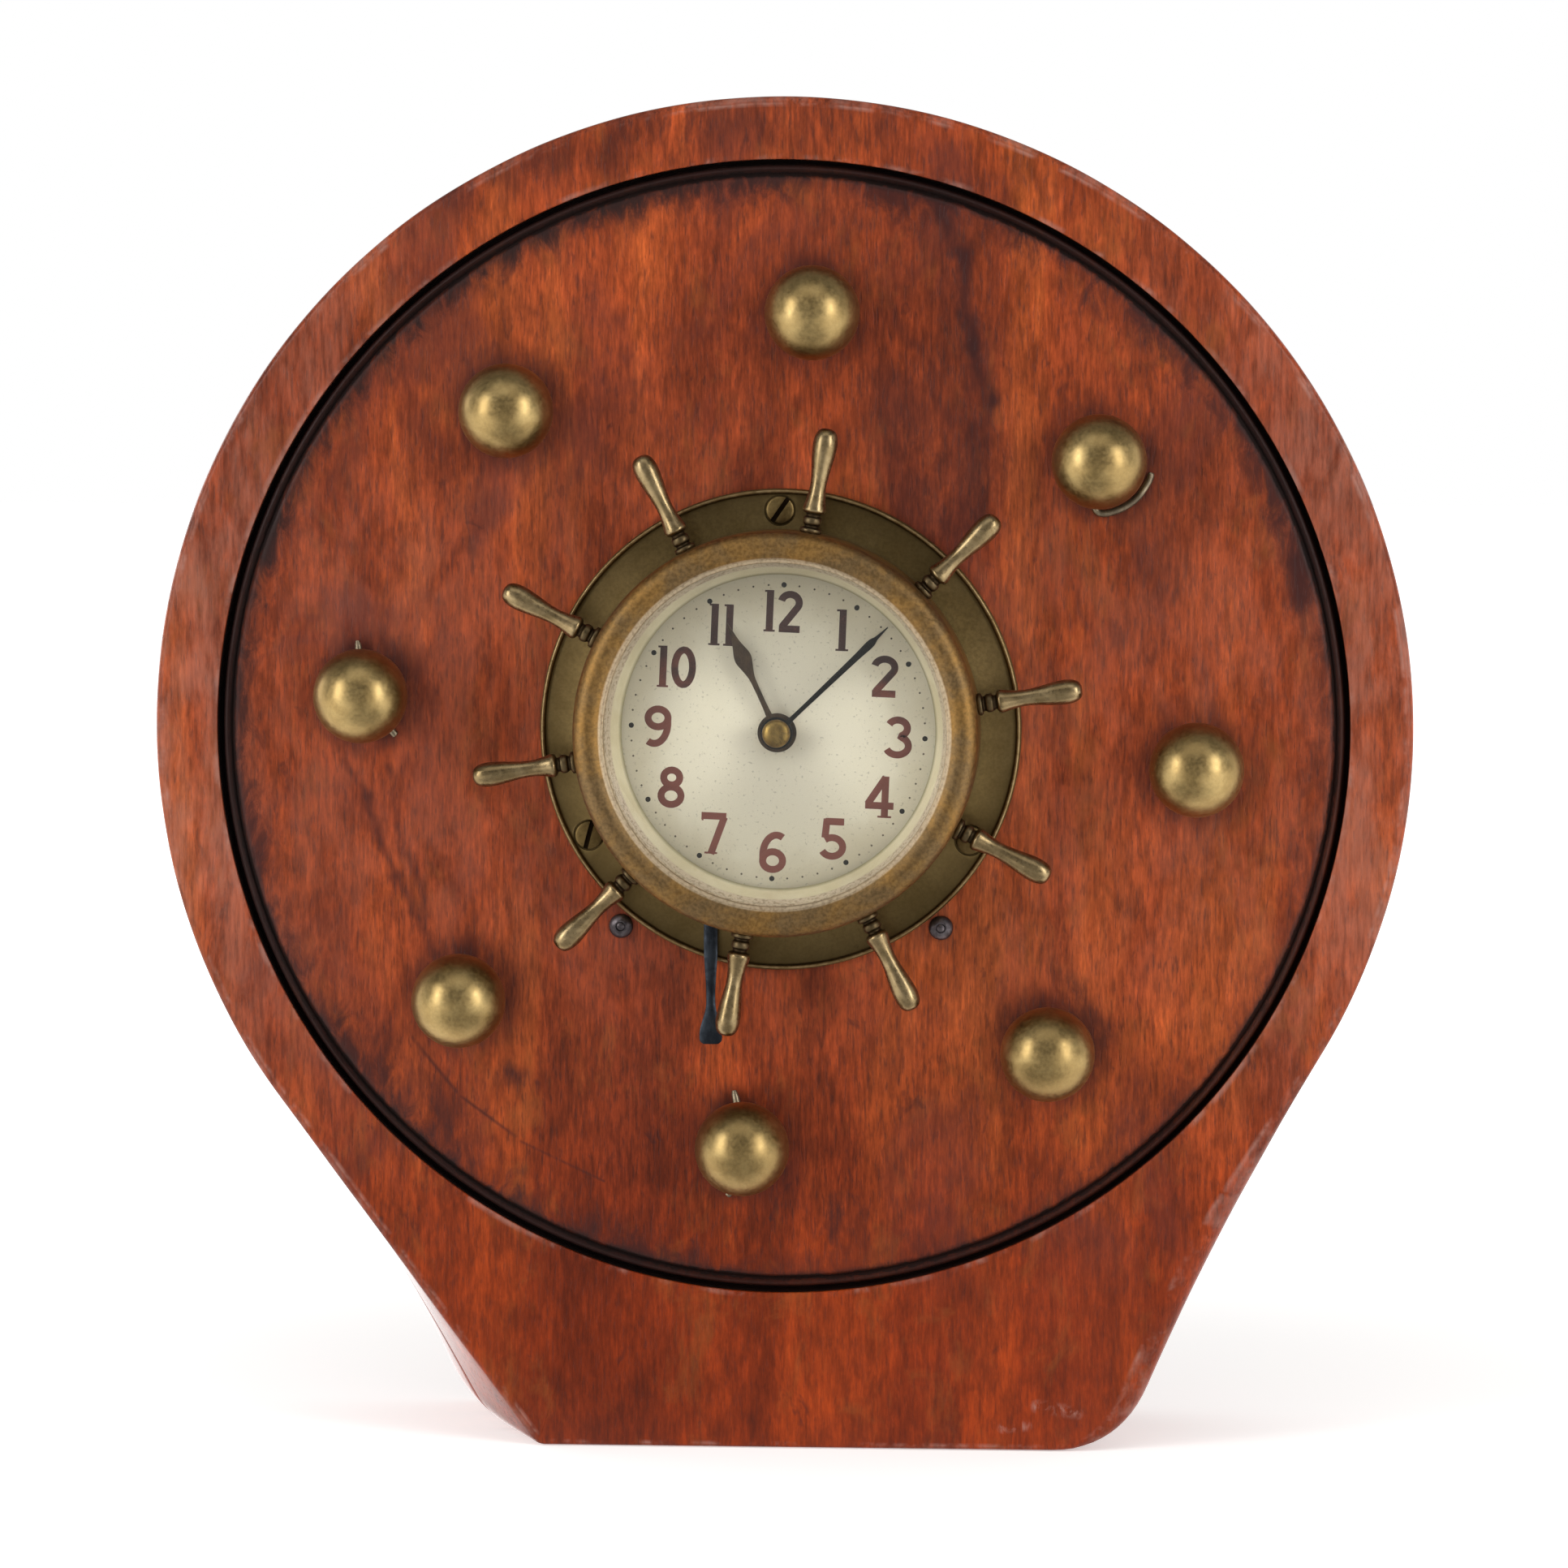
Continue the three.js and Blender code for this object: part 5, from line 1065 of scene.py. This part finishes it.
def makeRim():
    size = rim
    outer, rear, gearTop, seat = size["outer"], size["rear"], size["gearTop"], size["seat"]
    fixed = [(outer, rear + 0.25), (outer, size["side"])] + throughPoints(size["roll"], 3)
    fixed += soften(size["lip"], 2) + [
        (size["opening"], size["glassFront"]), (seat, size["glassFront"]), (seat, size["shoulder"]),
        (size["inner"], size["shoulder"]), (size["inner"], gearTop + 0.01)]
    rings = [[] for _ in range(len(fixed) + 3)]
    columns = size["teeth"] * size["perTooth"]
    for i in range(columns):
        phase = (i % size["perTooth"]) / size["perTooth"]
        tooth = blend(size["toothTip"], size["inner"] - 0.02, 1 - abs(2 * phase - 1))
        column = [(outer - 0.2, rear)] + fixed + [(tooth, gearTop), (tooth, rear)]
        for ring, (radius, u) in zip(rings, column):
            ring.append(spot(*clockPlace(radius, 90 + 360 * i / columns), u))
    bm = freshMesh()
    # the lip round the glass is rubbed pale
    pale = [0.0] + [0.8 if radius < 35.2 and u > 18.5 else 0.0 for radius, u in fixed]
    mark(bm, "edge", skin(bm, rings, True), pale)
    makePiece("rolled_rim", bm, "rim", "wheel", ["winding_rim"])


handle = {
    "count": 10,
    "turn": 9.6,
    "base": 40.6,
    "level": 13.0,
    "tenon": 1.1,
    "tenonLength": 2.8,
    "segments": 36,
    "grooves": [(1.3, 0.5), (3.5, 0.6)],     # darkened with grime and painted shade: distance from the rim and half width
    # radius and distance from the rim
    "turning": [(2.1, 0.0), (2.24, 0.35), (2.15, 0.85), (1.55, 1.1), (1.48, 1.45), (1.78, 1.85), (1.88, 2.4),
                (1.78, 2.95), (1.46, 3.3), (1.46, 3.75), (2.05, 4.05), (2.34, 4.5), (2.32, 5.0), (2.12, 5.8),
                (1.86, 7.0), (1.68, 8.3), (1.62, 9.6), (1.72, 11.2), (1.98, 13.2), (2.28, 15.3), (2.45, 17.3),
                (2.38, 18.7), (2.05, 19.9), (1.45, 20.65), (0.7, 20.95), (0, 21.0)],
}


def makeHandle(number):
    size = handle
    out = Vector(clockPlace(1, size["turn"] + (number - 1) * 360 / size["count"]))
    side = Vector((out.y, -out.x))
    tenon, inward = size["tenon"], -size["tenonLength"]
    line = [(0, inward), (tenon, inward), (tenon, -0.02)] + throughPoints(size["turning"], 3)
    rings, grimeAndShade = [], []
    for radius, along in line:
        centre = out * (size["base"] + along)
        count = size["segments"] if radius > 1e-4 else 1
        ring = []
        for k in range(count):
            angle = tau * k / count
            p = centre + side * radius * cos(angle)
            ring.append(spot(p.x, p.y, size["level"] + radius * sin(angle)))
        rings.append(ring)
        # painted shade with grime in the grooves and on the first few millimetres next to the rim
        groove = max(0.0, *(1 - abs(along - place) / half for place, half in size["grooves"]))
        grimeAndShade.append(min(0.97, groove * 0.95 + 0.65 * ease((4.6 - along) / 1.6)))
    bm = freshMesh()
    mark(bm, "grimeAndShade", skin(bm, rings), grimeAndShade)
    makePiece(f"turned_handle_{number}", bm, "handle", "wheel", [f"wheel_handle_{number}"],
              limit=60)


makeRim()
for number in range(1, handle["count"] + 1):
    makeHandle(number)
print("winding rim and handles", handle["count"])

# Domed glass
glass = {
    "radius": 35.0,
    "clearRadius": 34.2,
    "bottom": 16.2,
    "edge": 17.4,
    "front": 17.8,
    "dome": 18.2,
    "segments": 160,
    "rearSteps": 8,
    "domeSteps": 9,
}


def makeGlass():
    size = glass
    radius, bottom, edge = size["radius"], size["bottom"], size["edge"]
    line = [(radius * k / size["rearSteps"], bottom) for k in range(size["rearSteps"])]
    line.append((radius - 0.1, bottom))
    line += [(radius, bottom + 0.1), (radius, edge), (radius - 0.2, edge + 0.12)]
    for k in range(size["domeSteps"], -1, -1):
        share = k / size["domeSteps"]
        line.append((size["clearRadius"] * share, blend(size["dome"], size["front"], share ** 2)))
    turnedPiece("domed_glass", line, size["segments"], "glass", "wheel", ["crystal"])


# The cream sight ring behind the glass: radius, height and corner
sightRing = {
    "segments": 160,
    "profile": [(31.2, 9.3), (35.0, 9.3), (35.0, 16.1), (34.3, 16.1, 0.1), (33.9, 15.6, 0.15),
                (33.7, 14.6, 0.2), (33.0, 13.4, 0.4), (31.6, 9.9, 0.2)],
}
makeGlass()
turnedPiece("cream_sight_ring", soften(sightRing["profile"], 3), sightRing["segments"], "cream", "wheel",
            ["sight_ring"], True)
print("glass and sight ring")

# The dial card with its figures, hour dots and minute dots printed proud by a few hundredths
dial = {
    # radius and height of the card
    "card": [(2.9, 7.5), (33.4, 7.5), (33.4, 8.0), (33.3, 8.1), (28, 8.1), (22, 8.1), (16, 8.1), (10, 8.1),
             (5, 8.1), (3.0, 8.1), (2.9, 8.0)],
    "top": 8.1,
    "segments": 160,
    "turn": 2.4,             # the card sits a little clockwise
    "figureCircle": 24.1,
    "figureHeight": 8.3,
    "single": 1.18,          # breadth of one figure alone, and of two together
    "pair": 1.05,
    "stroke": 0.18,          # of the figure's height
    "serif": 0.05,
    "proud": 0.03,
    "sunk": 0.02,
    "step": 0.004,           # later strokes of a figure, and the edges of dots, lie a little lower
    "dotCircle": 29.4,
    "dot": 0.55,
    "minuteDot": 0.22,
}


def arc(x, y, wide, tall, start, end, steps=22):
    angles = [radians(blend(start, end, k / steps)) for k in range(steps + 1)]
    return [(x + wide * cos(angle), y + tall * sin(angle)) for angle in angles]


def bowl(x, y, wide, tall):
    return "loop", arc(x, y, wide, tall, 0, 345)


# Each figure has its width and its strokes in a unit-high box
figureShapes = {
    "0": (0.60, [bowl(0.30, 0.5, 0.205, 0.42)]),
    "1": (0.34, [("line", [(0.17, 0.0), (0.17, 1.0)]), ("serif", [(0.04, 0.975), (0.17, 0.975)]),
                 ("serif", [(0.04, 0.025), (0.30, 0.025)])]),
    "2": (0.60, [("line", arc(0.29, 0.715, 0.205, 0.20, 168, -28) + [(0.12, 0.13)]),
                 ("line", [(0.05, 0.083), (0.53, 0.083)])]),
    "3": (0.60, [("line", arc(0.28, 0.725, 0.195, 0.195, 155, -75)[:-1]
                  + arc(0.28, 0.30, 0.23, 0.22, 75, -155))]),
    "4": (0.62, [("line", [(0.42, 0.98), (0.07, 0.32)]), ("line", [(0.02, 0.29), (0.60, 0.29)]),
                 ("line", [(0.42, 1.0), (0.42, 0.0)]), ("serif", [(0.28, 0.025), (0.56, 0.025)])]),
    "5": (0.60, [("line", [(0.50, 0.917), (0.12, 0.917)]), ("line", [(0.15, 0.98), (0.12, 0.52)]),
                 ("line", arc(0.27, 0.305, 0.22, 0.225, 132, -152))]),
    "6": (0.60, [bowl(0.30, 0.295, 0.205, 0.215), ("line", arc(0.365, 0.44, 0.27, 0.475, 62, 196))]),
    "7": (0.58, [("line", [(0.03, 0.917), (0.54, 0.917)]), ("line", [(0.50, 0.90), (0.25, 0.0)]),
                 ("serif", [(0.12, 0.025), (0.38, 0.025)]), ("serif", [(0.055, 1.0), (0.055, 0.80)])]),
    "8": (0.60, [bowl(0.30, 0.735, 0.165, 0.18), bowl(0.30, 0.295, 0.205, 0.212)]),
}
# nine is six turned over
figureShapes["9"] = (0.60, [(kind, [(0.60 - x, 1.0 - y) for x, y in points])
                            for kind, points in figureShapes["6"][1]])


# Places across a strip are a share of its half width, and a height
def acrossStrip(middle, half, section):
    return [spot(*(middle + half * share), u) for share, u in section]


# A flat raised stroke of even width along a line of points, its sides leaning in a little
def ribbon(bm, points, width, bottom, top, closed):
    count, lean = len(points), 0.88
    section = [(1, bottom), (lean, top), (-lean, top), (-1, bottom)]
    sections = []
    for i, point in enumerate(points):
        ahead = points[(i + 1) % count] if closed else points[min(i + 1, count - 1)]
        behind = points[i - 1] if closed or i else points[0]
        along = (Vector(ahead) - Vector(behind)).normalized()
        half = Vector((-along.y, along.x)) * width / 2
        sections.append(acrossStrip(Vector(point), half, section))
    if closed:
        skin(bm, sections, True)
    else:
        skinWithEnds(bm, sections)


def placeFigure(bm, hour):
    text = str(hour)
    height = dial["figureHeight"]
    turn = radians(dial["turn"])
    cx, cy = clockPlace(dial["figureCircle"], dial["turn"] + hour * 30)
    parts = [figureShapes[digit] for digit in text]
    breadth = height * (dial["single"] if len(text) == 1 else dial["pair"])
    start = -sum(width for width, strokes in parts) * breadth / 2
    for width, strokes in parts:
        for order, (kind, points) in enumerate(strokes):
            placed = []
            for x, y in points:
                px = start + x * breadth
                py = (y - 0.5) * height
                placed.append((cx + px * cos(turn) + py * sin(turn),
                               cy - px * sin(turn) + py * cos(turn)))
            thick = (dial["serif"] if kind == "serif" else dial["stroke"]) * height
            top = dial["top"] + dial["proud"] - order * dial["step"]
            ribbon(bm, placed, thick, dial["top"] - dial["sunk"], top, kind == "loop")
        start += width * breadth


def addDot(bm, centre, radius, sides):
    bottom, top = dial["top"] - dial["sunk"], dial["top"] + dial["proud"]
    profile = [(0, bottom), (radius, bottom), (radius * 0.92, top - dial["step"]), (0, top)]
    skin(bm, turnedRings(profile, sides, centre))


def makeDial():
    size = dial
    turnedPiece("dial_card", size["card"], size["segments"], "dial", "stand", ["dial"], True)
    figures = freshMesh()
    for hour in range(1, 13):
        placeFigure(figures, hour)
    makePiece("dial_figures", figures, "figure", "stand")
    hourDots, minuteDots = freshMesh(), freshMesh()
    for minute in range(60):
        centre = clockPlace(size["dotCircle"], size["turn"] + minute * 6)
        if minute % 5 == 0:
            addDot(hourDots, centre, size["dot"], 20)
        else:
            addDot(minuteDots, centre, size["minuteDot"], 10)
    makePiece("hour_dots", hourDots, "dot", "stand")
    makePiece("minute_dots", minuteDots, "minuteDot", "stand")


makeDial()
print("dial")

# Hands and lever are stamped strips on a round eye; a blade is distance from the eye's centre and half width
hourHand = {
    "eye": 3.9, "hole": 2.9, "level": 10.5, "thick": 0.5, "turn": -24.6, "place": (0, 0),
    "blade": [(3.0, 0.7), (6.0, 0.52), (11.0, 0.55), (12.6, 0.75), (14.2, 1.2), (15.6, 1.62), (16.4, 1.7),
              (17.4, 1.55), (18.8, 1.1), (20.2, 0.7), (22.0, 0.42), (24.0, 0.12)],
}
minuteHand = {
    "eye": 3.2, "hole": 2.2, "level": 12.2, "thick": 0.5, "turn": 46.3, "place": (0, 0),
    "blade": [(2.4, 0.55), (6.0, 0.46), (14.0, 0.54), (22.0, 0.66), (25.2, 0.8), (26.5, 0.72), (27.3, 0.44),
              (28.2, 0.32), (30.6, 0.12)],
}
lever = {
    "eye": 3.0, "hole": 1.4, "level": 3.7, "thick": 0.7, "turn": 180.0, "place": (-13.9, -26.02),
    "blade": [(2.0, 1.3), (10.0, 1.35), (18.7, 1.35), (22.0, 1.2), (26.0, 0.95), (29.0, 0.92), (31.0, 1.2),
              (33.0, 1.8), (34.6, 2.2), (36.2, 2.28), (36.9, 2.1), (37.4, 1.5)],
}
handCap = {
    "bottom": 12.9, "top": 14.7, "segments": 64,
    "profile": [(2.8, 12.9, 0.1), (2.8, 13.7, 0.25), (2.35, 14.2, 0.3), (1.6, 14.52, 0.3), (0.8, 14.66, 0.3)],
}


def stampedStrip(name, size, finish, body, node):
    bottom, top = size["level"], size["level"] + size["thick"]
    out = Vector(clockPlace(1, size["turn"]))
    side = Vector((out.y, -out.x))
    edge, crown = blend(bottom, top, 0.55), blend(bottom, top, 0.96)
    section = [(-1, bottom), (-1, edge), (-0.6, crown), (0, top), (0.6, crown), (1, edge), (1, bottom),
               (0, bottom)]
    place = Vector(size["place"])
    rings = [acrossStrip(place + out * along, side * half, section)
             for along, half in throughPoints(size["blade"], 4)]
    bm = freshMesh()
    skinWithEnds(bm, rings)
    eye = soften([(size["hole"], bottom), (size["eye"], bottom), (size["eye"], top - 0.06, 0.12),
                  (size["hole"] + 0.1, top - 0.06, 0.08)], 3)
    skin(bm, turnedRings(eye, 64, place), True)
    makePiece(name, bm, finish, body, [node], limit=45)


stampedStrip("spade_hour_hand", hourHand, "hourBrown", "hour_hand", "hour_hand")
stampedStrip("baton_minute_hand", minuteHand, "minuteBlack", "minute_hand", "minute_hand")
stampedStrip("blued_lever", lever, "blueSteel", "lever", "setting_lever")
cap = [(0, handCap["bottom"])] + soften(handCap["profile"], 4) + [(0, handCap["top"])]
turnedPiece("domed_hand_cap", cap, handCap["segments"], "cap", "minute_hand", ["hand_cap"])
print("hands and lever")

# The fourth wheel's leaves are slim, so that the third wheel's teeth pass between them all the way round
fourthWheel = {
    "teeth": 36,
    "tip": 6.75,
    "root": 6.12,
    "wheel": (-11.0, -10.1),
    "leaves": 6,
    "leafTip": 1.39,
    "leafRoot": 0.74,
    "leafShares": (0.32, 0.11),      # of the pitch, at the leaf's root and tip
    "pinion": (-7.2, -5.9),
    "arbor": [(0, -18.5), (0.5, -18.5), (0.6, -18.4), (0.6, 2.3), (0.5, 2.4), (0, 2.4)],
}


# One tooth is given as radius and share of the pitch from its middle
def gearRing(tooth, count, u, centre):
    ring = []
    for i in range(count):
        for radius, share in tooth:
            x, y = clockPlace(radius, (i + share) * 360 / count)
            ring.append(spot(centre[0] + x, centre[1] + y, u))
    return ring


def makeFourthWheel():
    size = fourthWheel
    low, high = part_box("fourth_wheel")
    centre = ((low[0] + high[0]) / 2 / mm, (low[2] + high[2]) / 2 / mm - axisHeight)
    root, tip = (share / 2 for share in size["leafShares"])
    leafRoot, leafTip = size["leafRoot"], size["leafTip"]
    tooth = [(size["root"], -0.5), (size["tip"], 0)]
    leaf = [(leafRoot, -root), (leafTip, -tip), (leafTip, tip), (leafRoot, root)]
    bm = freshMesh()
    for shape, count, ends in ((tooth, size["teeth"], size["wheel"]), (leaf, size["leaves"], size["pinion"])):
        bottom, top = ends
        skin(bm, [[spot(*centre, bottom)], gearRing(shape, count, bottom, centre),
                  gearRing(shape, count, top, centre), [spot(*centre, top)]])
    skin(bm, turnedRings(size["arbor"], 24, centre))
    makePiece("slim_leaf_wheel", bm, "train", "fourth_wheel", ["fourth_wheel"])


makeFourthWheel()
print("fourth wheel")

# The other pieces inside the case keep their solids and take the same finishes
insideFinishes = {
    "train": ["front_plate", "back_plate", "dial_plate", "winding_idler", "winding_wheel",
              "mainspring_barrel", "centre_wheel", "third_wheel", "minute_wheel", "hour_wheel",
              "balance_wheel"],
    "steel": ["ratchet_wheel", "barrel_arbor", "click", "escape_wheel", "pallet_lever", "cannon_pinion",
              "lever_screw"],
    "blueSteel": ["mainspring", "hairspring"],
}
for finish, names in insideFinishes.items():
    for name in names:
        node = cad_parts[name]
        node.data.materials.clear()
        node.data.materials.append(finishes[finish])
print("movement finishes")

# Pale floor and white studio; the room behind the camera stays dim in reflections
studio = {
    "floor": "f2f2f0",
    "floorMottle": "f6f6f5",
    "floorSize": 6.0,
    "floorDrop": 0.0002,     # keeps the floor just under the foot
    "floorFront": 0.8,       # the floor stops in front, so that the glass shows the dim room
    "nearGlow": 0.42,        # lift of the floor to white close to the hub and further out
    "farGlow": 0.95,
    "mirrorFront": 0.2,      # glow of the floor in reflections, straight in front and to the sides
    "mirrorSide": 1.0,
    "shade": "a4a4a2",       # the floor in front, where whoever takes the picture stands in the light
    "ambient": 0.42,
    "dimRoom": 0.38,
    "dimCeiling": 0.35,
    "softboxes": [
        # place, aim height, width, height, watts
        ((-1.15, -0.95, 0.52), 0.15, 0.42, 1.0, 9.0),
        ((1.15, -0.95, 0.52), 0.15, 0.42, 1.0, 9.0),
        ((0.0, -0.9, 1.5), 0.15, 1.6, 0.9, 5.0),
        ((-1.5, 0.95, 0.42), 0.1, 1.2, 0.8, 10.0),
        ((1.5, 0.95, 0.42), 0.1, 1.2, 0.8, 4.0),
    ],
}


def floorFinish():
    pale = Finish("paleFloor")
    path = pale.add("LightPath").outputs
    parts = pale.apart(pale.place)
    out = pale.add("VectorMath", {0: pale.place}, operation="LENGTH").outputs["Value"]
    aside = pale.plus(pale.maths("ABSOLUTE", parts[0]), pale.band(parts[1], -0.14, 0.1, 0.0, 0.5))
    base = pale.mix(pale.band(pale.noise(3, 2, 0.5), 0.3, 0.7), studio["floor"], studio["floorMottle"])
    shaded = pale.times(path["Is Glossy Ray"], pale.band(aside, 0.08, 0.3, 1.0, 0.0))
    pale.surface(base=pale.mix(shaded, base, studio["shade"]), rough=0.9, specular=0.0)
    lift = pale.band(out, 0.15, 0.7, studio["nearGlow"], studio["farGlow"])
    mirror = pale.band(aside, 0.08, 0.3, studio["mirrorFront"], studio["mirrorSide"])
    shiny = pale.most(path["Is Glossy Ray"], path["Is Transmission Ray"])
    strength = pale.plus(pale.times(path["Is Camera Ray"], lift), pale.times(shiny, mirror))
    glow = pale.add("Emission", {"Color": "ffffff", "Strength": strength})
    pale.shows(pale.add("AddShader", {0: pale.shader.outputs[0], 1: glow.outputs[0]}))
    return pale.material


def makeFloor():
    bm = bmesh.new()
    bmesh.ops.create_grid(bm, x_segments=8, y_segments=8, size=studio["floorSize"])
    for vert in bm.verts:
        vert.co.y = max(vert.co.y, -studio["floorFront"])
    bmesh.ops.remove_doubles(bm, verts=bm.verts, dist=0.001)
    mesh = bpy.data.meshes.new("floor")
    bm.to_mesh(mesh)
    bm.free()
    floor = bpy.data.objects.new("floor", mesh)
    floor.location.z = -studio["floorDrop"]
    scene.collection.objects.link(floor)
    mesh.materials.append(floorFinish())


def makeWorld():
    world = bpy.data.worlds.new("studio")
    scene.world = world
    world.use_nodes = True
    world.node_tree.nodes.clear()
    room = Nodes(world.node_tree)
    parts = room.apart(room.add("TexCoord").outputs["Generated"])
    behind = room.band(parts[1], -0.35, 0.25, studio["dimRoom"], 1.0)
    overhead = room.band(parts[2], 0.15, 0.75, 1.0, studio["dimCeiling"])
    path = room.add("LightPath").outputs
    shiny = room.most(path["Is Glossy Ray"], path["Is Transmission Ray"])
    dim = room.times(behind, overhead)
    soft = room.add("Mix", {0: shiny, 2: studio["ambient"], 3: dim}).outputs[0]
    seen = room.add("Mix", {0: path["Is Camera Ray"], 2: soft, 3: 1.0}).outputs[0]
    light = room.add("Background", {"Color": "ffffff", "Strength": seen})
    room.add("OutputWorld", {"Surface": light.outputs[0]})


def makeLamps():
    for number, (place, aim, width, height, watts) in enumerate(studio["softboxes"], 1):
        lamp = bpy.data.lights.new(f"softbox_{number}", "AREA")
        lamp.shape = "RECTANGLE"
        lamp.size = width
        lamp.size_y = height
        lamp.energy = watts
        holder = bpy.data.objects.new(f"softbox_{number}", lamp)
        holder.location = place
        holder.rotation_euler = (Vector((0, 0, aim)) - Vector(place)).to_track_quat("-Z", "Y").to_euler()
        scene.collection.objects.link(holder)


# Camera a little to the right of the dial and above it
view = {
    "azimuth": 3.9, "elevation": 4.2, "distance": 1.35, "aim": (0.7, -11.0, 1.0), "lens": 153.9,
    "sensor": 36.0, "clipEnd": 50.0,
}


def makeCamera():
    data = bpy.data.cameras.new("camera")
    data.lens = view["lens"]
    data.sensor_width = view["sensor"]
    data.clip_end = view["clipEnd"]
    camera = bpy.data.objects.new("camera", data)
    azimuth, elevation = radians(view["azimuth"]), radians(view["elevation"])
    away = Vector((sin(azimuth) * cos(elevation), -cos(azimuth) * cos(elevation),
                   sin(elevation)))
    camera.location = spot(*view["aim"]) + away * view["distance"]
    camera.rotation_euler = (-away).to_track_quat("-Z", "Y").to_euler()
    scene.collection.objects.link(camera)
    scene.camera = camera


makeFloor()
makeWorld()
makeLamps()
makeCamera()
scene.view_settings.view_transform = "Standard"
print("studio and camera")
